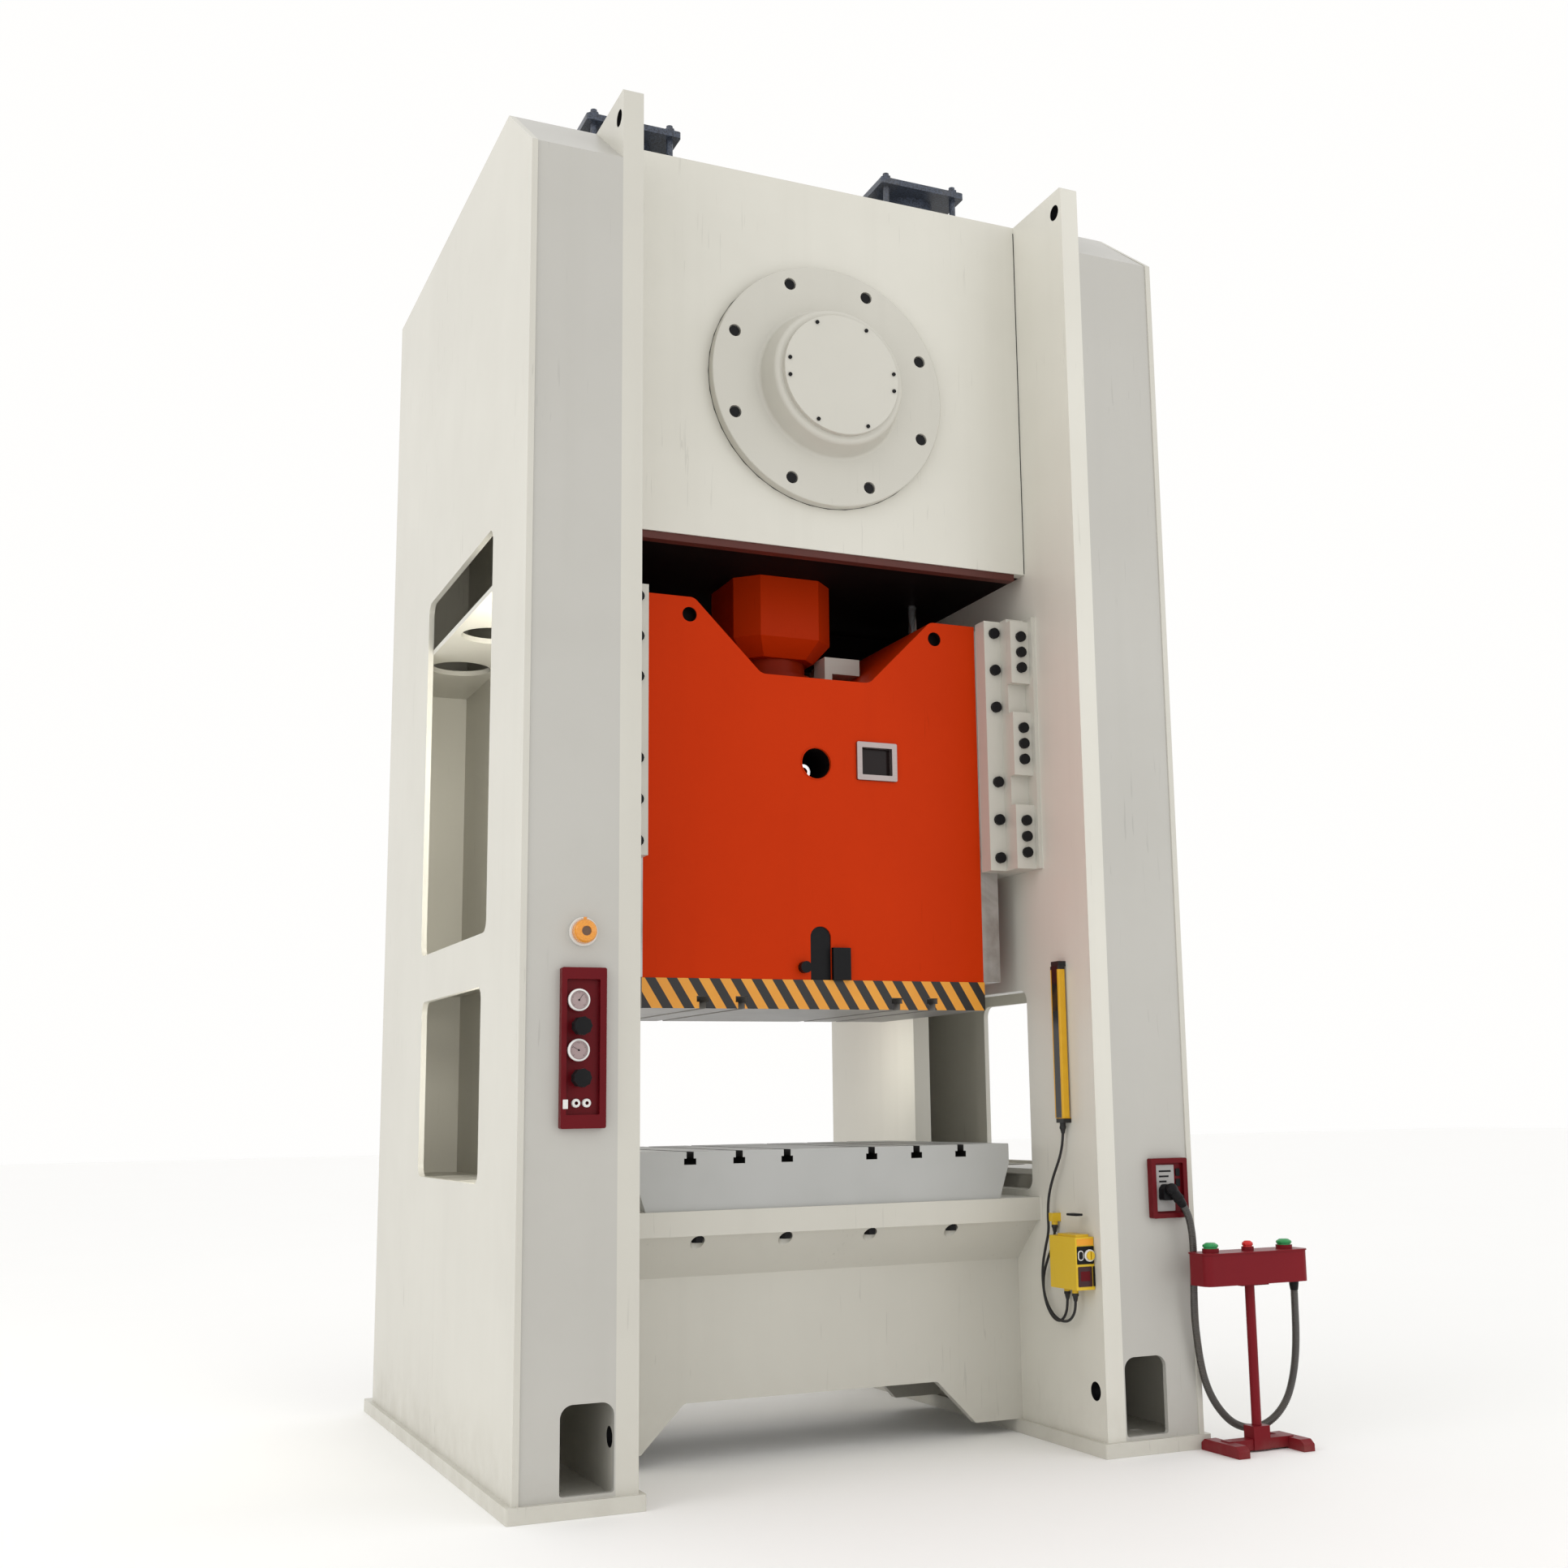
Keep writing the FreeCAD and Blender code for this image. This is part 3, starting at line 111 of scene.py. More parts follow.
def lamp(name, place, target, size, watts, tint):
    """A square area lamp at place that looks at target."""
    data = bpy.data.lights.new(name, "AREA")
    data.size, data.energy, data.color = size, watts, tint
    made = bpy.data.objects.new(name, data)
    scene.collection.objects.link(made)
    made.location = place
    made.rotation_euler = (Vector(target) - Vector(place)).to_track_quat("-Z", "Y").to_euler()
    return made


lamp("left_bank", (-11, -3, 7), (0, 0, 2.6), 7, 260, (1, 0.985, 0.95))
lamp("right_bank", (7, -11, 6), (0, 0, 2.6), 6, 110, (1, 1, 1))
warm_white, small = (1, 0.97, 0.88), 0.3
lamp("die_lamp", (0.55, 0.35, 1.75), (1.3, 1.3, 1.55), small, 2, warm_white)
cell_x, window_front, far_back = -1.32, -0.80, 3
for count, (height, watts) in enumerate(((1.45, 4), (1.75, 4), (2.5, 4), (3.0, 4.5), (3.4, 7))):
    lamp("window_lamp_" + str(count + 1), (cell_x, window_front, height), (cell_x, far_back, height),
         small, watts, warm_white)

ground = bmesh.new()
bmesh.ops.create_grid(ground, x_segments=8, y_segments=8, size=60)
floor_mesh = bpy.data.meshes.new("studio_floor")
ground.to_mesh(floor_mesh)
ground.free()
studio_floor = bpy.data.objects.new("studio_floor", floor_mesh)
studio_floor.location.z = -0.0005
scene.collection.objects.link(studio_floor)

# %% [markdown]
# ## Writing a shader like a sum
# A node tree is easy to draw by hand and hard to read in code. So one small class wraps a socket:
# adding or multiplying two of them adds a Math node, and `1 - mask` reads as it is meant. Colours go
# through Mix nodes instead, because a Math node would turn them grey. Everything else is asked for
# by its type, its settings and what goes into its sockets.

# %% The socket and the finish
finishes = {}


class Socket:
    """One output of a node, which can be used in sums."""

    def __init__(self, finish, output):
        self.finish = finish
        self.output = output

    def maths(self, operation, first, second=0.0):
        return self.finish.node("ShaderNodeMath", {"operation": operation}, {0: first, 1: second})

    def __add__(self, other):
        return self.maths("ADD", self, other)

    def __sub__(self, other):
        return self.maths("SUBTRACT", self, other)

    def __mul__(self, other):
        return self.maths("MULTIPLY", self, other)

    def __truediv__(self, other):
        return self.maths("DIVIDE", self, other)

    def __rsub__(self, other):
        return self.maths("SUBTRACT", other, self)

    __radd__ = __add__
    __rmul__ = __mul__

    def fraction(self):
        return self.maths("FRACT", self)

    def size(self):
        return self.maths("ABSOLUTE", self)

    def root(self):
        return self.maths("SQRT", self)

    def between(self, start, end):
        """0 below start, 1 above end, and a smooth rise from one to the other."""
        values = {"Value": self, "From Min": start, "From Max": end}
        return self.finish.node("ShaderNodeMapRange", {"interpolation_type": "SMOOTHSTEP"}, values)


class Finish:
    """A material in the making."""

    def __init__(self, name):
        self.name = name
        self.material = bpy.data.materials.new(name)
        self.material.use_nodes = True
        self.tree = self.material.node_tree
        self.shader = self.tree.nodes["Principled BSDF"]
        self.place = self.node("ShaderNodeTexCoord", {}, {}, "Object")

    def node(self, kind, settings, values, take=0):
        """Any node: its settings first, then what its sockets hold, and the output to take."""
        made = self.tree.nodes.new(kind)
        for name, value in settings.items():
            setattr(made, name, value)
        for name, value in values.items():
            if isinstance(value, Socket):
                self.tree.links.new(value.output, made.inputs[name])
            else:
                made.inputs[name].default_value = value
        return Socket(self, made.outputs[take])

    def mix(self, share, first, second):
        """Two colours, or a colour and a socket, mixed by share."""
        pair = [c if isinstance(c, Socket) else (*c, 1) for c in (first, second)]
        return self.node("ShaderNodeMix", {"data_type": "RGBA"}, {0: share, 6: pair[0], 7: pair[1]}, 2)

    def stretched(self, x, y, z):
        """The place on the object, drawn out by a factor along each axis."""
        return self.node("ShaderNodeVectorMath", {"operation": "MULTIPLY"}, {0: self.place, 1: (x, y, z)})

    def noise(self, scale, detail=3, rough=0.5, at=None, twist=0.0):
        values = {"Vector": at or self.place, "Scale": scale, "Detail": detail, "Roughness": rough,
                  "Distortion": twist}
        return self.node("ShaderNodeTexNoise", {}, values)

    def cells(self, scale, feature="F1"):
        values = {"Vector": self.place, "Scale": scale}
        return self.node("ShaderNodeTexVoronoi", {"feature": feature}, values)

    def axis(self, letter):
        return self.node("ShaderNodeSeparateXYZ", {}, {0: self.place}, letter)

    def bump(self, height, distance, strength=1.0, under=None):
        values = {"Height": height, "Distance": distance, "Strength": strength}
        if under:
            values["Normal"] = under
        return self.node("ShaderNodeBump", {}, values)

    def done(self, **sockets):
        """Sets the shader's own sockets: roughness=0.4 stands for Roughness."""
        for name, value in sockets.items():
            title = name.replace("_", " ").title().replace("Ior", "IOR")
            socket = self.shader.inputs[title]
            if isinstance(value, Socket):
                self.tree.links.new(value.output, socket)
            elif isinstance(value, tuple) and len(value) == 3 and socket.type == "RGBA":
                socket.default_value = (*value, 1)
            else:
                socket.default_value = value
        finishes[self.name] = self.material
        return self.material


print("shader inputs:", len(Finish("trial").shader.inputs))
bpy.data.materials.remove(bpy.data.materials["trial"])

# %% [markdown]
# ## Enamel on steel plate
# Almost the whole press is sprayed enamel over filled and sanded plate. From a few metres it isn't one
# flat colour: the coat is a little thicker here and thinner there, faint runs go down the plates, the
# filler leaves long soft waves, dust settles low down, and hands and slings leave scuffs. A close look
# also finds the orange peel of the spray gun. Noise at four sizes does all of that. An image would
# show its tiles on a plate five metres high, so the pattern is worked out from the place instead.

# %% The enamel recipe


def enamel(name, colour, shade, gloss=0.36, dust=(0.34, 0.30, 0.25), dust_top=0.55, wear=0.5, peel=1.0,
           shine_level=0.3):
    """Sprayed enamel: its colour, its shade where the coat is thin, and dust up to dust_top metres.

    wear and peel go from 0 to 1, and shine_level is how much light the skin itself throws back."""
    coat = Finish(name)
    cloud = coat.noise(0.8, 4, 0.6)
    runs = coat.noise(1, 3, 0.5, coat.stretched(9, 9, 0.35))
    skin = coat.mix(cloud.between(0.3, 0.72) * 0.55, colour, shade)
    skin = coat.mix(runs.between(0.5, 0.75) * 0.22, skin, shade)
    height = coat.axis("Z")
    low = 1 - height.between(0.0, dust_top)
    settled = low * low * coat.noise(7, 5, 0.65).between(0.3, 0.8)
    skin = coat.mix(settled * 0.16, skin, dust)
    lines = coat.noise(1, 2, 0.5, coat.stretched(70, 55, 3.5), 0.6)
    patches = coat.noise(1.7, 3, 0.6)
    scuffs = lines.between(0.66, 0.7) * patches.between(0.52, 0.66) * wear
    skin = coat.mix(scuffs * 0.45, skin, tuple(c * 0.55 for c in shade))
    specks = coat.cells(38).between(0.0, 0.055)
    chips = (1 - specks) * coat.noise(2.3, 2).between(0.62, 0.7) * wear
    skin = coat.mix(chips * 0.6, skin, (0.2, 0.19, 0.18))
    shine = gloss + cloud * 0.08 + scuffs * 0.22 + settled * 0.25 - runs * 0.04
    waves = coat.bump(coat.noise(2.6, 2), 0.004, 0.5 * peel)
    grain = coat.bump(coat.noise(330, 2, 0.6), 0.0005, 0.32 * peel, waves)
    dented = coat.bump(chips, 0.0004, -0.6, grain)
    return coat.done(base_color=skin, roughness=shine, normal=dented, coat_roughness=0.2,
                     coat_weight=shine_level * 0.25, specular_ior_level=shine_level)


def slotted(name, colour, shade):
    """The bolster's enamel, with near-black inside its T-slots: bare iron, darkened further as painted shade.
    """
    first_slot, slot_pitch = 0.201, 0.221
    top = Finish(name)
    cloud = top.noise(0.9, 4, 0.6)
    skin = top.mix(cloud.between(0.3, 0.7), colour, shade)
    nearest = ((top.axis("X").size() - first_slot) / slot_pitch + 0.5).fraction() - 0.5
    inside = 1 - nearest.size().between(0.124, 0.128)
    inside = inside * top.axis("Z").between(1.2455, 1.246) * (1 - top.axis("Z").between(1.2994, 1.2998))
    inside = inside * top.axis("Y").between(-0.8796, -0.8790)
    # Near-black on the faces inside the T-slots: bare iron, with painted shade.
    skin = top.mix(inside, skin, (0.012, 0.011, 0.010))
    knocks = (1 - top.cells(45).between(0.02, 0.06)) * top.noise(3, 3).between(0.58, 0.66)
    skin = top.mix(knocks * 0.7, skin, (0.2, 0.19, 0.18))
    grain = top.bump(top.noise(330, 2, 0.6), 0.0005, 0.3)
    dented = top.bump(1 - knocks, 0.0004, 0.5, grain)
    return top.done(base_color=skin, roughness=0.4 + cloud * 0.1, normal=dented, specular_ior_level=0.3)


enamel("body_paint", (0.60, 0.585, 0.525), (0.54, 0.525, 0.47))
slotted("bolster_paint", (0.46, 0.465, 0.455), (0.41, 0.415, 0.40))
# A paler copy of the body's enamel for the crown and the right column's inner plate: painted light.
lit_paint = enamel("lit_paint", (0.70, 0.685, 0.62), (0.63, 0.615, 0.55))
# A darker copy of the body's enamel for the column fronts: painted shade.
shaded_paint = enamel("shaded_paint", (0.50, 0.49, 0.455), (0.45, 0.44, 0.405))
slide_orange = enamel("slide_orange", (0.56, 0.034, 0.0015), (0.50, 0.028, 0.001), 0.45, shine_level=0.05)
enamel("stand_red", (0.20, 0.008, 0.014), (0.14, 0.006, 0.011), 0.34, dust_top=0.1,
       shine_level=0.12)
panel_red = enamel("panel_red", (0.13, 0.004, 0.008), (0.09, 0.003, 0.006), 0.34, peel=0.6, shine_level=0.12)
enamel("motor_paint", (0.10, 0.15, 0.20), (0.07, 0.11, 0.16), 0.38)
enamel("black_steel", (0.008, 0.008, 0.009), (0.013, 0.013, 0.014), 0.42, (0.04, 0.035, 0.03),
       shine_level=0.12)
# A darker copy of the slide's red for the adjusting nut: painted shade.
shaded_nut_red = enamel("shaded_nut_red", (0.27, 0.016, 0.001), (0.22, 0.012, 0.001), 0.45, shine_level=0.08)
box_yellow = enamel("box_yellow", (0.74, 0.50, 0.02), (0.64, 0.42, 0.02), 0.34)
# Near-black paint for the cavity under the crown and for the slide's port and sling holes: painted shade.
shade_black = enamel("shade_black", (0.006, 0.004, 0.004), (0.010, 0.006, 0.005), 0.7, (0.012, 0.010, 0.009),
                     shine_level=0.05)
# A dark brown for the strip under the crown; its darkness is painted shade.
shaded_lip_brown = enamel("shaded_lip_brown", (0.10, 0.022, 0.015), (0.06, 0.016, 0.012), 0.5)
print("enamels:", len(bpy.data.materials))

# %% [markdown]
# ## Bare steel, castings, rubber and plastic
# The guides are ground and oiled, so their lines run one way and dark oil films lie over them. The gears,
# rod and flywheel are castings: pitted between the teeth, with a brown film of grease. Black plastic
# has the fine even grain of its mould, and rubber is duller and greyer where it is rubbed.

# %% Metal and rubber recipes


def ground_steel(name, colour, along, gloss=0.3, oil=0.5):
    """Ground steel: along stretches its grinding lines on each axis, and oil is how much is filmed over."""
    metal = Finish(name)
    lines = metal.noise(1, 3, 0.6, metal.stretched(*along))
    film = metal.noise(3.2, 5, 0.6, twist=0.8).between(0.45, 0.7) * oil
    bright = metal.mix(lines, tuple(c * 0.82 for c in colour), colour)
    bright = metal.mix(film, bright, (0.16, 0.13, 0.1))
    rub = gloss + lines * 0.16 - film * 0.1
    cut = metal.bump(lines, 0.0003, 0.5)
    return metal.done(base_color=bright, metallic=0.9, roughness=rub, normal=cut)


def casting(name, colour, grease, pits=90):
    """A casting with pitted skin under a brown film of grease."""
    metal = Finish(name)
    sand = metal.noise(pits, 5, 0.65)
    film = metal.noise(5, 4, 0.6, twist=0.5).between(0.4, 0.65)
    skin = metal.mix(sand, tuple(c * 0.7 for c in colour), colour)
    skin = metal.mix(film * 0.6, skin, grease)
    rough = metal.bump(sand, 0.0012, 0.55)
    return metal.done(base_color=skin, metallic=0.75, roughness=0.56 - film * 0.2 + sand * 0.1, normal=rough)


def moulded(name, colour, rub, gloss=0.45, grain=700, shine_level=0.4):
    """Moulded plastic or rubber: colour, and rub where it is worn."""
    skin = Finish(name)
    worn = skin.noise(14, 4, 0.6).between(0.45, 0.75)
    face = skin.mix(worn * 0.5, colour, rub)
    pebble = skin.bump(skin.cells(grain), 0.0003, 0.3)
    return skin.done(base_color=face, roughness=gloss + worn * 0.15, normal=pebble,
                     specular_ior_level=shine_level)


ground_steel("guide_steel", (0.5, 0.5, 0.49), (60, 60, 2))
rod_chrome = ground_steel("rod_chrome", (0.78, 0.78, 0.79), (200, 200, 60), 0.08, 0.2)
conduit_steel = ground_steel("conduit_steel", (0.13, 0.125, 0.12), (150, 150, 150), 0.34, 0.25)
casting("cast_gear", (0.32, 0.32, 0.33), (0.10, 0.07, 0.04))
casting("wheel_iron", (0.24, 0.25, 0.27), (0.12, 0.1, 0.08), 50)
black_plastic = moulded("black_plastic", (0.006, 0.006, 0.007), (0.014, 0.014, 0.014), shine_level=0.15)
lead_rubber = moulded("lead_rubber", (0.014, 0.014, 0.015), (0.045, 0.043, 0.04), 0.5)
moulded("belt_rubber", (0.02, 0.02, 0.02), (0.07, 0.065, 0.06), 0.62, 240)
moulded("palm_green", (0.015, 0.27, 0.07), (0.03, 0.34, 0.11), 0.22)
moulded("stop_red", (0.6, 0.012, 0.012), (0.68, 0.04, 0.03), 0.22)
gauge_ring = moulded("gauge_ring", (0.74, 0.74, 0.72), (0.64, 0.63, 0.6), 0.3)
dial_face = moulded("dial_face", (0.36, 0.27, 0.27), (0.42, 0.34, 0.33), 0.16)
amber_label = moulded("amber_label", (0.78, 0.33, 0.015), (0.7, 0.28, 0.012), 0.3)
grey_plate = moulded("grey_plate", (0.36, 0.35, 0.34), (0.44, 0.43, 0.41), 0.35)
display_glass = moulded("display_glass", (0.035, 0.004, 0.005), (0.05, 0.008, 0.008), 0.08)
print("finishes:", len(bpy.data.materials))

# %% [markdown]
# ## Finishes that depend on the place
# The lower edge of the slide wears slanted amber and black stripes, painted with masks: their edges are
# crisp, but the paint is chipped where dies have knocked it. The stripes are a sum: the place across the
# front plus a share of the height, cut into equal parts. They belong to the front face alone, so the sum
# is masked by the depth of the place. The lamp, the light curtain and the fittings on the slide are one
# solid each, with parts of several colours, so they are masked by the place in the same way. The
# balancers' black is hammered enamel, which is small dimples, with blue-grey painted highlights on the
# dimples' tops.

# %% Stripes, hammered enamel, lamp and masked fittings


def stripes(name):
    """Amber and black stripes on the front of the slide's base, and bare steel on its other faces."""
    stripe_pitch, lean, below_zero = 0.098, 0.62, 20
    band = Finish(name)
    slant = band.axis("X") + band.axis("Z") * lean
    part = (slant / stripe_pitch + below_zero).fraction()
    black = part.between(0.49, 0.51) - part.between(0.985, 1.0)
    cloud = band.noise(6, 4, 0.6)
    amber = band.mix(cloud, (0.80, 0.36, 0.03), (0.70, 0.27, 0.02))
    soot = band.mix(cloud, (0.007, 0.006, 0.006), (0.014, 0.012, 0.011))
    painted = band.mix(black, amber, soot)
    front = 1 - band.axis("Y").between(-0.7999, -0.7985)
    steel = band.mix(band.noise(1, 3, 0.5, band.stretched(3, 80, 80)), (0.33, 0.32, 0.31), (0.22, 0.21, 0.2))
    skin = band.mix(front, steel, painted)
    knocks = (1 - band.cells(60).between(0.03, 0.075)) * band.noise(5, 3).between(0.55, 0.65)
    skin = band.mix(knocks * front * 0.8, skin, (0.26, 0.07, 0.03))
    rough = 0.36 + cloud * 0.12 + knocks * 0.2
    return band.done(base_color=skin, roughness=rough, normal=band.bump(1 - knocks, 0.0005, 0.5))


def hammered(name):
    """Black hammered enamel, with blue-grey painted highlights on the dimples' tops."""
    skin = Finish(name)
    dimple = skin.cells(130, "SMOOTH_F1")
    # The blue-grey on the dimples' tops is painted highlight.
    tone = skin.mix(dimple.between(0.1, 0.6), (0.02, 0.022, 0.028), (0.06, 0.075, 0.11))
    dusty = skin.noise(8, 4).between(0.5, 0.75)
    tone = skin.mix(dusty * 0.3, tone, (0.16, 0.15, 0.14))
    return skin.done(base_color=tone, roughness=0.34 + dusty * 0.2, normal=skin.bump(dimple, 0.0015, 0.6))


def lamp_glass(name, x, z):
    """A white base ring round an amber lens with a dark heart, about the lamp's middle at x and z."""
    glass = Finish(name)
    across = glass.axis("X") - x
    up = glass.axis("Z") - z
    radius = (across * across + up * up).root()
    ribs = glass.cells(160)
    tone = glass.mix(ribs, (0.80, 0.33, 0.02), (0.66, 0.22, 0.012))
    tone = glass.mix(1 - radius.between(0.016, 0.021), tone, (0.12, 0.05, 0.015))
    rim = radius.between(0.0462, 0.0472) * glass.axis("Y").between(-1.4172, -1.4165)
    tone = glass.mix(rim, tone, (0.66, 0.64, 0.6))
    return glass.done(base_color=tone, roughness=0.12 + ribs * 0.1, coat_weight=0.6, coat_roughness=0.05,
                      normal=glass.bump(ribs, 0.0006, 0.4))


def curtain_enamel(name):
    """Yellow housing, black ends, and a black optical window down the face that looks across the press."""
    case = Finish(name)
    height = case.axis("Z")
    low, high = curtain_low[2], curtain_high[2]
    under_top = 1 - height.between(high - 0.038, high - 0.036)
    ends = 1 - height.between(low + 0.036, low + 0.038) * under_top
    facing = 1 - case.axis("X").size().between(inner_face - 0.0436, inner_face - 0.0428)
    depth = (case.axis("Y") - (curtain_low[1] + curtain_high[1]) / 2).size()
    window = facing * (1 - depth.between(0.0235, 0.0245))
    black = ends + window - ends * window
    cloud = case.noise(20, 3)
    tone = case.mix(cloud, (0.74, 0.42, 0.018), (0.64, 0.34, 0.014))
    tone = case.mix(black, tone, (0.014, 0.014, 0.015))
    return case.done(base_color=tone, roughness=0.36 - window * 0.26 + cloud * 0.05,
                     normal=case.bump(window, 0.0008, -0.5), specular_ior_level=0.35)


def face_fittings(name):
    """The window's bright frame, its pane near-black as painted shade, and the black ejector block and knob
    under it.
    """
    metal = Finish(name)
    frame_part = metal.axis("Z").between(2.6, 2.61)
    pane = metal.axis("Y").between(-0.7815, -0.7805) * frame_part
    lines = metal.noise(1, 3, 0.6, metal.stretched(20, 300, 300))
    tone = metal.mix(lines, (0.30, 0.25, 0.24), (0.42, 0.37, 0.36))
    tone = metal.mix(1 - frame_part, tone, (0.005, 0.005, 0.006))
    # The pane's near-black is painted shade behind the glass.
    tone = metal.mix(pane, tone, (0.010, 0.005, 0.005))
    rub = 0.32 - pane * 0.2 + lines * 0.1
    return metal.done(base_color=tone, metallic=frame_part * (1 - pane) * 0.8, roughness=rub,
                      normal=metal.bump(lines, 0.0002, 0.4), specular_ior_level=0.15)


stripes("hazard_band")
hammered("balancer_black")
beacon_low, beacon_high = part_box("beacon")
lamp_glass("amber_lamp", (beacon_low[0] + beacon_high[0]) / 2, beacon_low[2] + 0.057)
inner_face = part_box("crown_front_plate")[1][0]
curtain_low, curtain_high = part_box("light_curtains")
curtain_enamel("safety_yellow")
face_fittings("bright_frame")

concrete = Finish("studio_floor")
cloudy = concrete.noise(0.6, 5, 0.6)
pale = concrete.mix(cloudy, (0.965, 0.962, 0.955), (0.98, 0.978, 0.972))
studio_floor.data.materials.append(concrete.done(base_color=pale, roughness=0.65 + cloudy * 0.1))
print("materials:", sorted(m.name for m in bpy.data.materials if m.users))

# %% [markdown]
# ## Handing the finishes out
# The CAD record already says which solid has which kind of finish. The names are the same here, so each
# solid looks its material up by its slot's name. Every CAD object keeps its mesh and its place; only
# what fills its material slots changes. A few plates then get a tone of their own that paints uneven light
# into their colour: darker column fronts as painted shade, a paler crown and right inner plate as painted
# light, and near-black paint in the cavity under the crown as painted shade.

# %% Give every solid its finish
for part in frame["record"]["subparts"]:
    solid = nodes[part["node"]]
    if not solid.material_slots:
        solid.data.materials.append(None)
    for place in solid.material_slots:
        place.material = finishes[part["material_slot"]]
# Painted light and shade: near-black plates in the crown's cavity, a darker adjusting nut, darker column
# fronts, and a paler crown and right inner plate.
for name, finish in (("crown_bottom_plate", shade_black), ("crown_rear_plate", shade_black),
                     ("controller_box", box_yellow), ("adjusting_nut", shaded_nut_red),
                     ("column_inner_plate_right", lit_paint), ("column_front_plate_left", shaded_paint),
                     ("column_front_plate_right", shaded_paint), ("crown_front_plate", lit_paint)):
    for place in nodes[name].material_slots:
        place.material = finish

# %% [markdown]
# ## Two ways to make a small piece
# Nearly all the trim on a machine is either flat or round. Flat trim is punched from sheet: an outline with
# round corners, pushed back by its thickness. Round trim is turned: half a section, spun about its axis.
# Both could start from a primitive that is then scaled, but a scaled primitive has scaled corners too. A
# bevel modifier breaks the sharp edges, because a real edge always catches a line of light.

# %% Flat and turned pieces


def piece(name, shape, finish, body="frame", edge=0.0006):
    """Makes an object of a bmesh, with soft edges, its finish and the body it rides on."""
    bmesh.ops.remove_doubles(shape, verts=shape.verts, dist=1e-6)
    bmesh.ops.recalc_face_normals(shape, faces=shape.faces)
    mesh = bpy.data.meshes.new(name)
    shape.to_mesh(mesh)
    shape.free()
    mesh.materials.append(finish)
    made = bpy.data.objects.new(name, mesh)
    scene.collection.objects.link(made)
    if edge:
        soft = made.modifiers.new("soft_edge", "BEVEL")
        soft.width, soft.segments = edge, 2
        soft.limit_method, soft.angle_limit = "ANGLE", math.radians(35)
    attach(made, body)
    return made


FORWARD, BACKWARD = (0, -1, 0), (0, 1, 0)


def flat(name, x, z, y, radius, finish, body="frame", foot_radius=None):
    """A plate with round corners between two values each of x, z and y."""
    corner_steps = 8
    shape = bmesh.new()
    low = radius if foot_radius is None else foot_radius
    ring = []
    for side_x, side_z, first, r in (
            (1, 1, 0, radius), (0, 1, 90, radius), (0, 0, 180, low), (1, 0, 270, low)):
        middle_x = x[side_x] + (r if side_x == 0 else -r)
        middle_z = z[side_z] + (r if side_z == 0 else -r)
        for step in range(corner_steps + 1):
            angle = math.radians(first + 90 / corner_steps * step)
            corner = (middle_x + r * math.cos(angle), y[0], middle_z + r * math.sin(angle))
            ring.append(shape.verts.new(corner))
    bmesh.ops.remove_doubles(shape, verts=shape.verts, dist=1e-6)
    front = shape.faces.new([v for v in ring if v.is_valid])
    grown = bmesh.ops.extrude_face_region(shape, geom=[front])
    moved = [v for v in grown["geom"] if isinstance(v, bmesh.types.BMVert)]
    bmesh.ops.translate(shape, verts=moved, vec=(0, y[1] - y[0], 0))
    return piece(name, shape, finish, body)


def turned_piece(name, outline, middle, heading, finish, body="frame"):
    """A piece spun about the line through middle, from (radius, distance along it) points."""
    shape = bmesh.new()
    axis = Vector(heading).normalized()
    side = axis.orthogonal().normalized()
    centre = Vector(middle)
    line = [shape.verts.new(centre + side * r + axis * d) for r, d in outline]
    links = [shape.edges.new(pair) for pair in zip(line, line[1:])]
    bmesh.ops.spin(shape, geom=line + links, cent=centre, axis=axis, angle=2 * math.pi, steps=40,
                   use_merge=True)
    made = piece(name, shape, finish, body, edge=0.0)
    for face in made.data.polygons:
        face.use_smooth = True
    made.data.set_sharp_from_angle(angle=math.radians(32))
    return made


# %% [markdown]
# ## Dials on the air panel
# Each pressure gauge has a pale face behind its white ring, with black ticks over three quarters of a turn
# and a pointer. The ticks could be painted by a shader that works out an angle, but raised print is so
# simple that small blocks on a circle read better, and they keep their sharp ends in any view.

# %% Gauge faces, ticks and fittings
front_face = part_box("column_front_plate_left")[0][1]
gauge_low, gauge_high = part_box("gauges")
gauge_radius = 0.043
gauge_x = (gauge_low[0] + gauge_high[0]) / 2
ticks, first_angle, sweep, long_every = 24, 225, 270, 6
tick_end = 0.031
face_y = front_face - 0.040
for count, gauge_z in enumerate((gauge_low[2] + gauge_radius, gauge_high[2] - gauge_radius)):
    name = ("lower", "upper")[count] + "_gauge"
    turned_piece(name + "_face", [(0, 0.0012), (0.0352, 0.0012), (0.0358, 0.0004), (0.0358, -0.0008)],
                 (gauge_x, face_y, gauge_z), FORWARD, dial_face)
    marks = bmesh.new()
    place = Matrix.Translation((gauge_x, face_y - 0.0014, gauge_z))
    for tick in range(ticks + 1):
        angle = math.radians(first_angle - sweep * tick / ticks)
        long, wide = (0.0062, 0.0013) if tick % long_every == 0 else (0.0036, 0.0007)
        turn = Matrix.Rotation(-angle, 4, "Y")
        size = Matrix.Diagonal((long, 0.0005, wide, 1))
        outward = Matrix.Translation((tick_end - long / 2, 0, 0))
        bmesh.ops.create_cube(marks, size=1, matrix=place @ turn @ outward @ size)
    reading = Matrix.Rotation(-math.radians(150 - 95 * count), 4, "Y")
    pointer = reading @ Matrix.Translation((0.011, -0.0004, 0))
    size = Matrix.Diagonal((0.032, 0.0006, 0.0014, 1))
    bmesh.ops.create_cube(marks, size=1, matrix=place @ pointer @ size)
    piece(name + "_marks", marks, black_plastic, edge=0.0)
    turned_piece(name + "_hub", [(0, 0.0042), (0.0032, 0.0038), (0.004, 0.001)],
                 (gauge_x, face_y, gauge_z), FORWARD, black_plastic)

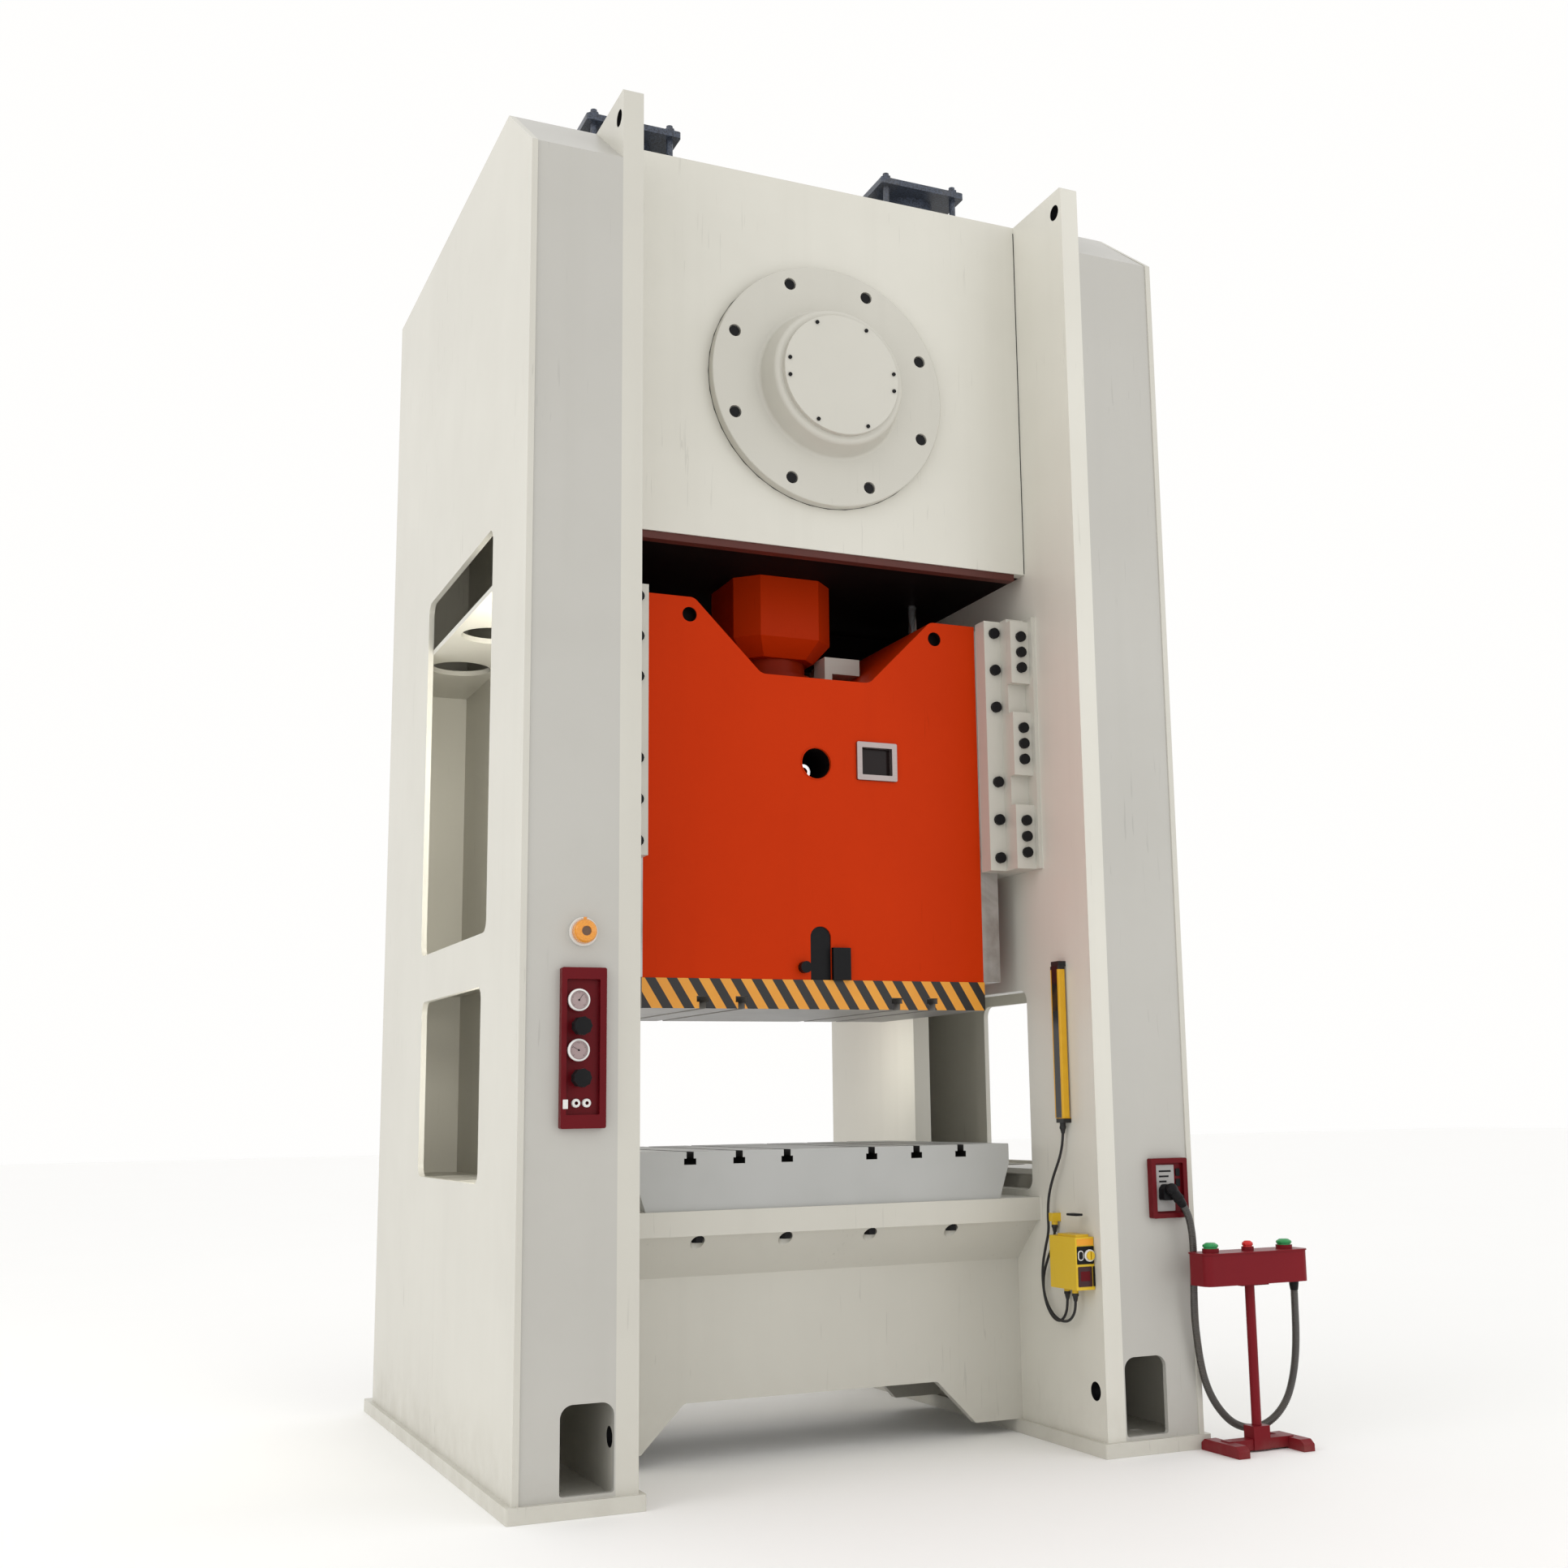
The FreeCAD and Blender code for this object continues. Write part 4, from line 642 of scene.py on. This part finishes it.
knob_low, knob_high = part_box("regulator_lower")
knob_x = (knob_low[0] + knob_high[0]) / 2
panel_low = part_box("air_panel")[0]
for name, x in (("left_air_fitting", knob_x - 0.010), ("right_air_fitting", knob_x + 0.032)):
    turned_piece(name, [(0.007, 0.019), (0.0125, 0.019), (0.0165, 0.016), (0.0165, 0.001), (0.0152, 0)],
                 (x, front_face - 0.010, panel_low[2] + 0.096), FORWARD, gauge_ring)
flat("air_panel_plate", (panel_low[0] + 0.008, panel_low[0] + 0.028),
     (panel_low[2] + 0.075, panel_low[2] + 0.110), (front_face - 0.0335, front_face - 0.0318),
     0.002, gauge_ring)
print("gauge faces at x", round(gauge_x, 3))

# %% [markdown]
# ## Faces of the electric boxes
# The socket frame holds a grey plate and two dark rocker slots. The curtain's controller has a bare amber
# plate, a black panel with a ringed key switch and an oval one, and a display under glass. They are all
# thin flat plates, set proud of the box by a millimetre or two so that each edge throws a fine shadow.

# %% Socket plate and controller face
socket_low, socket_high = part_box("socket_panel")
recess_y = front_face - 0.018
flat("socket_plate", (socket_low[0] + 0.030, socket_low[0] + 0.124),
     (socket_low[2] + 0.029, socket_high[2] - 0.029), (recess_y - 0.0025, recess_y),
     0.004, grey_plate)
for name, z in (("upper_rocker", 0.178), ("lower_rocker", 0.134)):
    flat(name, (socket_low[0] + 0.132, socket_low[0] + 0.153), (socket_low[2] + z, socket_low[2] + z + 0.032),
         (recess_y - 0.006, recess_y), 0.003, black_plastic)
for row in range(3):
    flat("socket_bar_" + str(row + 1), (socket_low[0] + 0.045, socket_low[0] + 0.108 - 0.012 * row),
         (socket_high[2] - 0.060 - 0.022 * row, socket_high[2] - 0.052 - 0.022 * row),
         (recess_y - 0.0032, recess_y - 0.0022), 0.002, black_plastic)

box_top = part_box("controller_box")[1][2]
face_left, face_right = inner_face - 0.094, inner_face
box_y = -1.350
sunk = box_y + 0.0005
flat("controller_label", (face_left + 0.006, face_right - 0.006), (0.871, 0.899), (box_y - 0.0014, sunk),
     0.003, amber_label)
flat("controller_panel", (face_left + 0.005, face_right - 0.005), (0.792, 0.867), (box_y - 0.0024, sunk),
     0.004, black_plastic)
flat("controller_display", (face_left + 0.008, face_right - 0.016), (0.698, 0.782), (box_y - 0.0024, sunk),
     0.004, display_glass)
flat("display_window", (face_left + 0.020, face_right - 0.028), (0.722, 0.762),
     (box_y - 0.0032, box_y - 0.002), 0.002, panel_red)
flat("controller_side", (face_right - 0.012, face_right - 0.002), (0.698, 0.782), (box_y - 0.0024, sunk),
     0.002, black_plastic)
turned_piece("key_ring", [(0.0195, 0.009), (0.0235, 0.009), (0.0255, 0.006), (0.0255, 0.0), (0.0195, 0.0)],
             (face_left + 0.066, box_y - 0.002, 0.828), FORWARD, gauge_ring)
flat("oval_ring", (face_left + 0.009, face_left + 0.036), (0.808, 0.850), (box_y - 0.0044, box_y - 0.002),
     0.0125, gauge_ring)
flat("oval_key", (face_left + 0.013, face_left + 0.032), (0.812, 0.846), (box_y - 0.0064, box_y - 0.004),
     0.009, black_plastic)
flat("controller_cap", (face_left + 0.020, face_left + 0.060), (box_top - 0.001, box_top + 0.009),
     (-1.320, -1.250), 0.003, black_plastic)
print("controller face at x", round(face_left, 3))

# %% [markdown]
# ## Openings in the slide's face
# Behind the round port sits a grease nipple in a dark pocket, and the slot over the stripes is the ejector's.
# Both look black in daylight because they are deep and oily, so each gets a near-black liner a little behind
# the face as painted shade, and the sling holes near the slide's top get near-black cups in the same way.
# A shader could darken the pocket, but a liner keeps the edge of the paint crisp.

# %% Port and ejector liners, painted shade
slide_low, slide_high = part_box("slide")
slide_face = slide_low[1]
port = (-0.005, slide_face, slide_low[2] + 0.985)
turned_piece("port_shade_liner", [(0.0708, 0.010), (0.0690, 0.012), (0.0690, 0.2285), (0, 0.2285)],
             port, BACKWARD, shade_black, "slide_unit")
rim = [(0.0712, -0.001), (0.0770, -0.001), (0.0765, -0.0035), (0.0720, -0.0035), (0.0700, 0.004),
       (0.0705, 0.012)]
turned_piece("port_rim", rim, port, BACKWARD, slide_orange, "slide_unit")
nozzle = [(0.0205, -0.002), (0.0345, -0.002), (0.0395, 0.003), (0.0395, 0.045), (0.0460, 0.046),
          (0.0460, 0.070), (0.0380, 0.072)]
turned_piece("port_nipple", nozzle, (-0.020, slide_face + 0.120, slide_low[2] + 0.965), BACKWARD,
             rod_chrome, "slide_unit")
flat("ejector_shade_liner", (-0.0445, 0.0545), (slide_low[2], slide_low[2] + 0.2395),
     (slide_face + 0.006, slide_face + 0.009), 0.048, black_plastic, "slide_unit",
     foot_radius=0.001)
cup = [(0.0338, 0.004), (0.0325, 0.006), (0.0325, 0.038), (0, 0.0385)]
for side, word in ((-1, "left"), (1, "right")):
    turned_piece("sling_hole_shade_" + word, cup, (0.615 * side, slide_face, slide_high[2] - 0.080), BACKWARD,
                 shade_black, "slide_unit")
print("slide face at y", round(slide_face, 3))

# %% [markdown]
# ## The crown's lip and its seams
# A dark brown strip hangs under the crown's front plate; its darkness is painted shade. Where that plate
# meets the columns runs a thin black line. On a pale machine this thin line is what tells the eye that the
# crown is a plate of its own, so it is modelled as a bead and not left to a shadow. The lugs' eyes and the
# hand holes get black linings as painted shade, because only their walls can be seen from the side.

# %% Lip and seams
crown_low, crown_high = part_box("crown_front_plate")
crown_face = crown_low[1]
flat("crown_lip", (-0.98, 0.98), (crown_low[2] - 0.034, crown_low[2] + 0.001),
     (crown_face + 0.008, crown_face + 0.06), 0.003, shaded_lip_brown)
for side, word in ((-1, "left"), (1, "right")):
    edge = (side * (inner_face - 0.0042), side * (inner_face - 0.0002))
    flat("crown_seam_" + word, (min(edge), max(edge)), (crown_low[2] + 0.004, crown_high[2] - 0.03),
         (crown_face - 0.0012, crown_face + 0.001), 0.001, black_plastic)
turned_piece("flange_seam", [(0.5765, 0.0), (0.5800, 0.0), (0.5800, 0.0020), (0.5765, 0.0020), (0.5765, 0.0)],
             (0, crown_face, 4.760), FORWARD, black_plastic)
for side, word in ((-1, "left"), (1, "right")):
    # Black tubes inside the lug eyes and hand holes: painted shade.
    for name, y, z, radius in (("lug_eye", -1.340, 5.664, 0.0375), ("hand_hole", -1.319, 0.260, 0.040)):
        outer, inner = radius - 0.0002, radius - 0.0020
        liner = [(outer, 0.001), (inner, 0.001), (inner, 0.089), (outer, 0.089), (outer, 0.001)]
        turned_piece(name + "_shade_liner_" + word, liner, (side * inner_face, y, z), (side, 0, 0),
                     black_plastic)
print("lip under z", round(crown_low[2], 3))

# %% [markdown]
# ## The leads
# Three cords hang on this press. The stand's flexible steel conduit leaves a plug on the right column,
# drops along the column's edge, bows low behind the stand's foot, and climbs to the stand's box. Two thin
# black leads hang in lazy loops to the controller, one from the light curtain and one from the wall. A
# cord is one smooth line under its own weight, so each is a NURBS curve with a few listed points,
# given thickness by a round bevel. Points copied from the CAD tube's arcs would look like bent wire.
#
# A curve's box is padded by the radius of its points, which is a whole metre unless it is set. The points
# here have a small radius and the bevel is deeper by the same factor, so the cord keeps its thickness.

# %% Cord curves
POINT_RADIUS = 0.02


def cord_line(name, points, diameter, finish):
    """A round cord along one NURBS spline with these control points."""
    data = bpy.data.curves.new(name, "CURVE")
    data.dimensions = "3D"
    data.bevel_depth = diameter / 2 / POINT_RADIUS
    data.bevel_resolution = 4
    data.use_fill_caps = True
    line = data.splines.new("NURBS")
    line.points.add(len(points) - 1)
    for point, place in zip(line.points, points):
        point.co = (*place, 1)
        point.radius = POINT_RADIUS
    line.order_u = 3
    line.use_endpoint_u = True
    line.resolution_u = 10
    made = bpy.data.objects.new(name, data)
    data.materials.append(finish)
    scene.collection.objects.link(made)
    return made


conduit_points = [
    (1.392, -1.476, 1.061), (1.434, -1.474, 1.010), (1.456, -1.472, 0.940), (1.464, -1.470, 0.850),
    (1.463, -1.466, 0.745), (1.463, -1.458, 0.640), (1.467, -1.450, 0.550), (1.477, -1.446, 0.462),
    (1.490, -1.442, 0.372), (1.512, -1.438, 0.285), (1.547, -1.436, 0.208), (1.596, -1.435, 0.143),
    (1.652, -1.435, 0.094), (1.728, -1.437, 0.066), (1.808, -1.440, 0.072), (1.878, -1.447, 0.110),
    (1.928, -1.460, 0.175), (1.950, -1.476, 0.256), (1.952, -1.502, 0.350), (1.940, -1.532, 0.455),
    (1.924, -1.556, 0.570), (1.922, -1.560, 0.695)]
curtain_points = [
    (1.008, -1.167, 1.372), (1.008, -1.166, 1.322), (1.004, -1.142, 1.240), (0.998, -1.084, 1.152),
    (0.994, -1.046, 1.066), (0.992, -1.038, 0.986), (0.990, -1.046, 0.915), (0.988, -1.014, 0.840),
    (0.988, -0.984, 0.762), (0.988, -0.980, 0.680), (0.988, -1.006, 0.606), (0.988, -1.062, 0.556),
    (0.988, -1.130, 0.534), (0.988, -1.196, 0.540), (0.988, -1.242, 0.574), (0.988, -1.256, 0.618),
    (0.988, -1.256, 0.660)]
box_points = [
    (1.012, -1.062, 0.940), (1.012, -1.060, 0.904), (1.012, -1.036, 0.848), (1.012, -0.990, 0.790),
    (1.012, -0.950, 0.720), (1.012, -0.944, 0.650), (1.012, -0.970, 0.584), (1.012, -1.022, 0.536),
    (1.012, -1.084, 0.526), (1.012, -1.132, 0.560), (1.012, -1.150, 0.612), (1.012, -1.150, 0.660)]

cords = {}
for name, points, diameter, finish in (
        ("conduit", conduit_points, 0.030, conduit_steel),
        ("curtain_lead", curtain_points, 0.012, lead_rubber),
        ("box_lead", box_points, 0.012, lead_rubber)):
    cords[name] = cord_line("flexible_" + name, points, diameter, finish)
    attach(cords[name], "frame")
    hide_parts(name)
    "conduit_steel" if name == "conduit" else "lead_rubber"

print("cords:", sorted(cords))

# %% [markdown]
# ## Windings and glands
# Flexible conduit is a steel strip wound into a tube, so its skin is a row of fine ridges. They could be
# bump, but the conduit is seen against white and its outline has to show them. The ridges are rings along
# the cord's own line, read from the curve with its thickness taken away. Where a lead leaves a housing, a
# tapered rubber gland keeps it from kinking.

# %% Conduit ridges and glands


def line_of(cord):
    """Points on the cord's middle line."""
    thickness = cord.data.bevel_depth
    cord.data.bevel_depth = 0
    thin = bpy.data.meshes.new_from_object(cord)
    cord.data.bevel_depth = thickness
    places = [v.co.copy() for v in thin.vertices]
    bpy.data.meshes.remove(thin)
    return places


def spaced(places, pitch):
    """Places and headings every pitch metres along a line of points."""
    spots = []
    reach = pitch
    for start, end in zip(places, places[1:]):
        run = end - start
        while reach < run.length:
            spots.append((start + run.normalized() * reach, run.normalized()))
            reach += pitch
        reach -= run.length
    return spots


def ridges(name, spots, major, minor, finish):
    """Round rings square to the line at each spot."""
    shape = bmesh.new()
    turns = [2 * math.pi * i / 18 for i in range(18)]
    round_section = [2 * math.pi * i / 6 for i in range(6)]
    for middle, heading in spots:
        side = heading.orthogonal().normalized()
        other = heading.cross(side)
        rings = []
        for turn in turns:
            out = side * math.cos(turn) + other * math.sin(turn)
            rings.append([])
            for b in round_section:
                spot = middle + out * (major + minor * math.cos(b)) + heading * minor * math.sin(b)
                rings[-1].append(shape.verts.new(spot))
        for i in range(len(turns)):
            here, following = rings[i], rings[(i + 1) % len(turns)]
            for k in range(len(round_section)):
                after = (k + 1) % len(round_section)
                shape.faces.new((here[k], following[k], following[after], here[after]))
    made = piece(name, shape, finish, edge=0.0)
    for face in made.data.polygons:
        face.use_smooth = True
    return made


ridge_pitch, ring_radius, ridge_radius = 0.0078, 0.0143, 0.0026
windings = ridges("conduit_windings", spaced(line_of(cords["conduit"]), ridge_pitch), ring_radius, ridge_radius,
                  conduit_steel)


def gland(name, points, radius, long, finish=lead_rubber):
    """A tapered sleeve round the cord at points[0], narrowing towards points[1]."""
    heading = Vector(points[1]) - Vector(points[0])
    outline = [(radius + 0.008, -0.004), (radius + 0.009, 0.006), (radius + 0.006, 0.010),
               (radius + 0.005, long * 0.5), (radius + 0.0022, long - 0.003), (radius + 0.0006, long),
               (radius - 0.001, long)]
    return turned_piece(name, outline, points[0], heading, finish)


plug_gland = gland("plug_gland", conduit_points, 0.015, 0.045, black_plastic)
stand_gland = gland("stand_gland", conduit_points[::-1], 0.015, 0.045, black_plastic)
curtain_glands = [gland("curtain_gland", curtain_points, 0.006, 0.030),
                  gland("front_box_gland", curtain_points[::-1], 0.006, 0.032)]
wall_glands = [gland("wall_gland", box_points, 0.006, 0.030),
               gland("rear_box_gland", box_points[::-1], 0.006, 0.032)]

print("ridges:", len(windings.data.polygons))
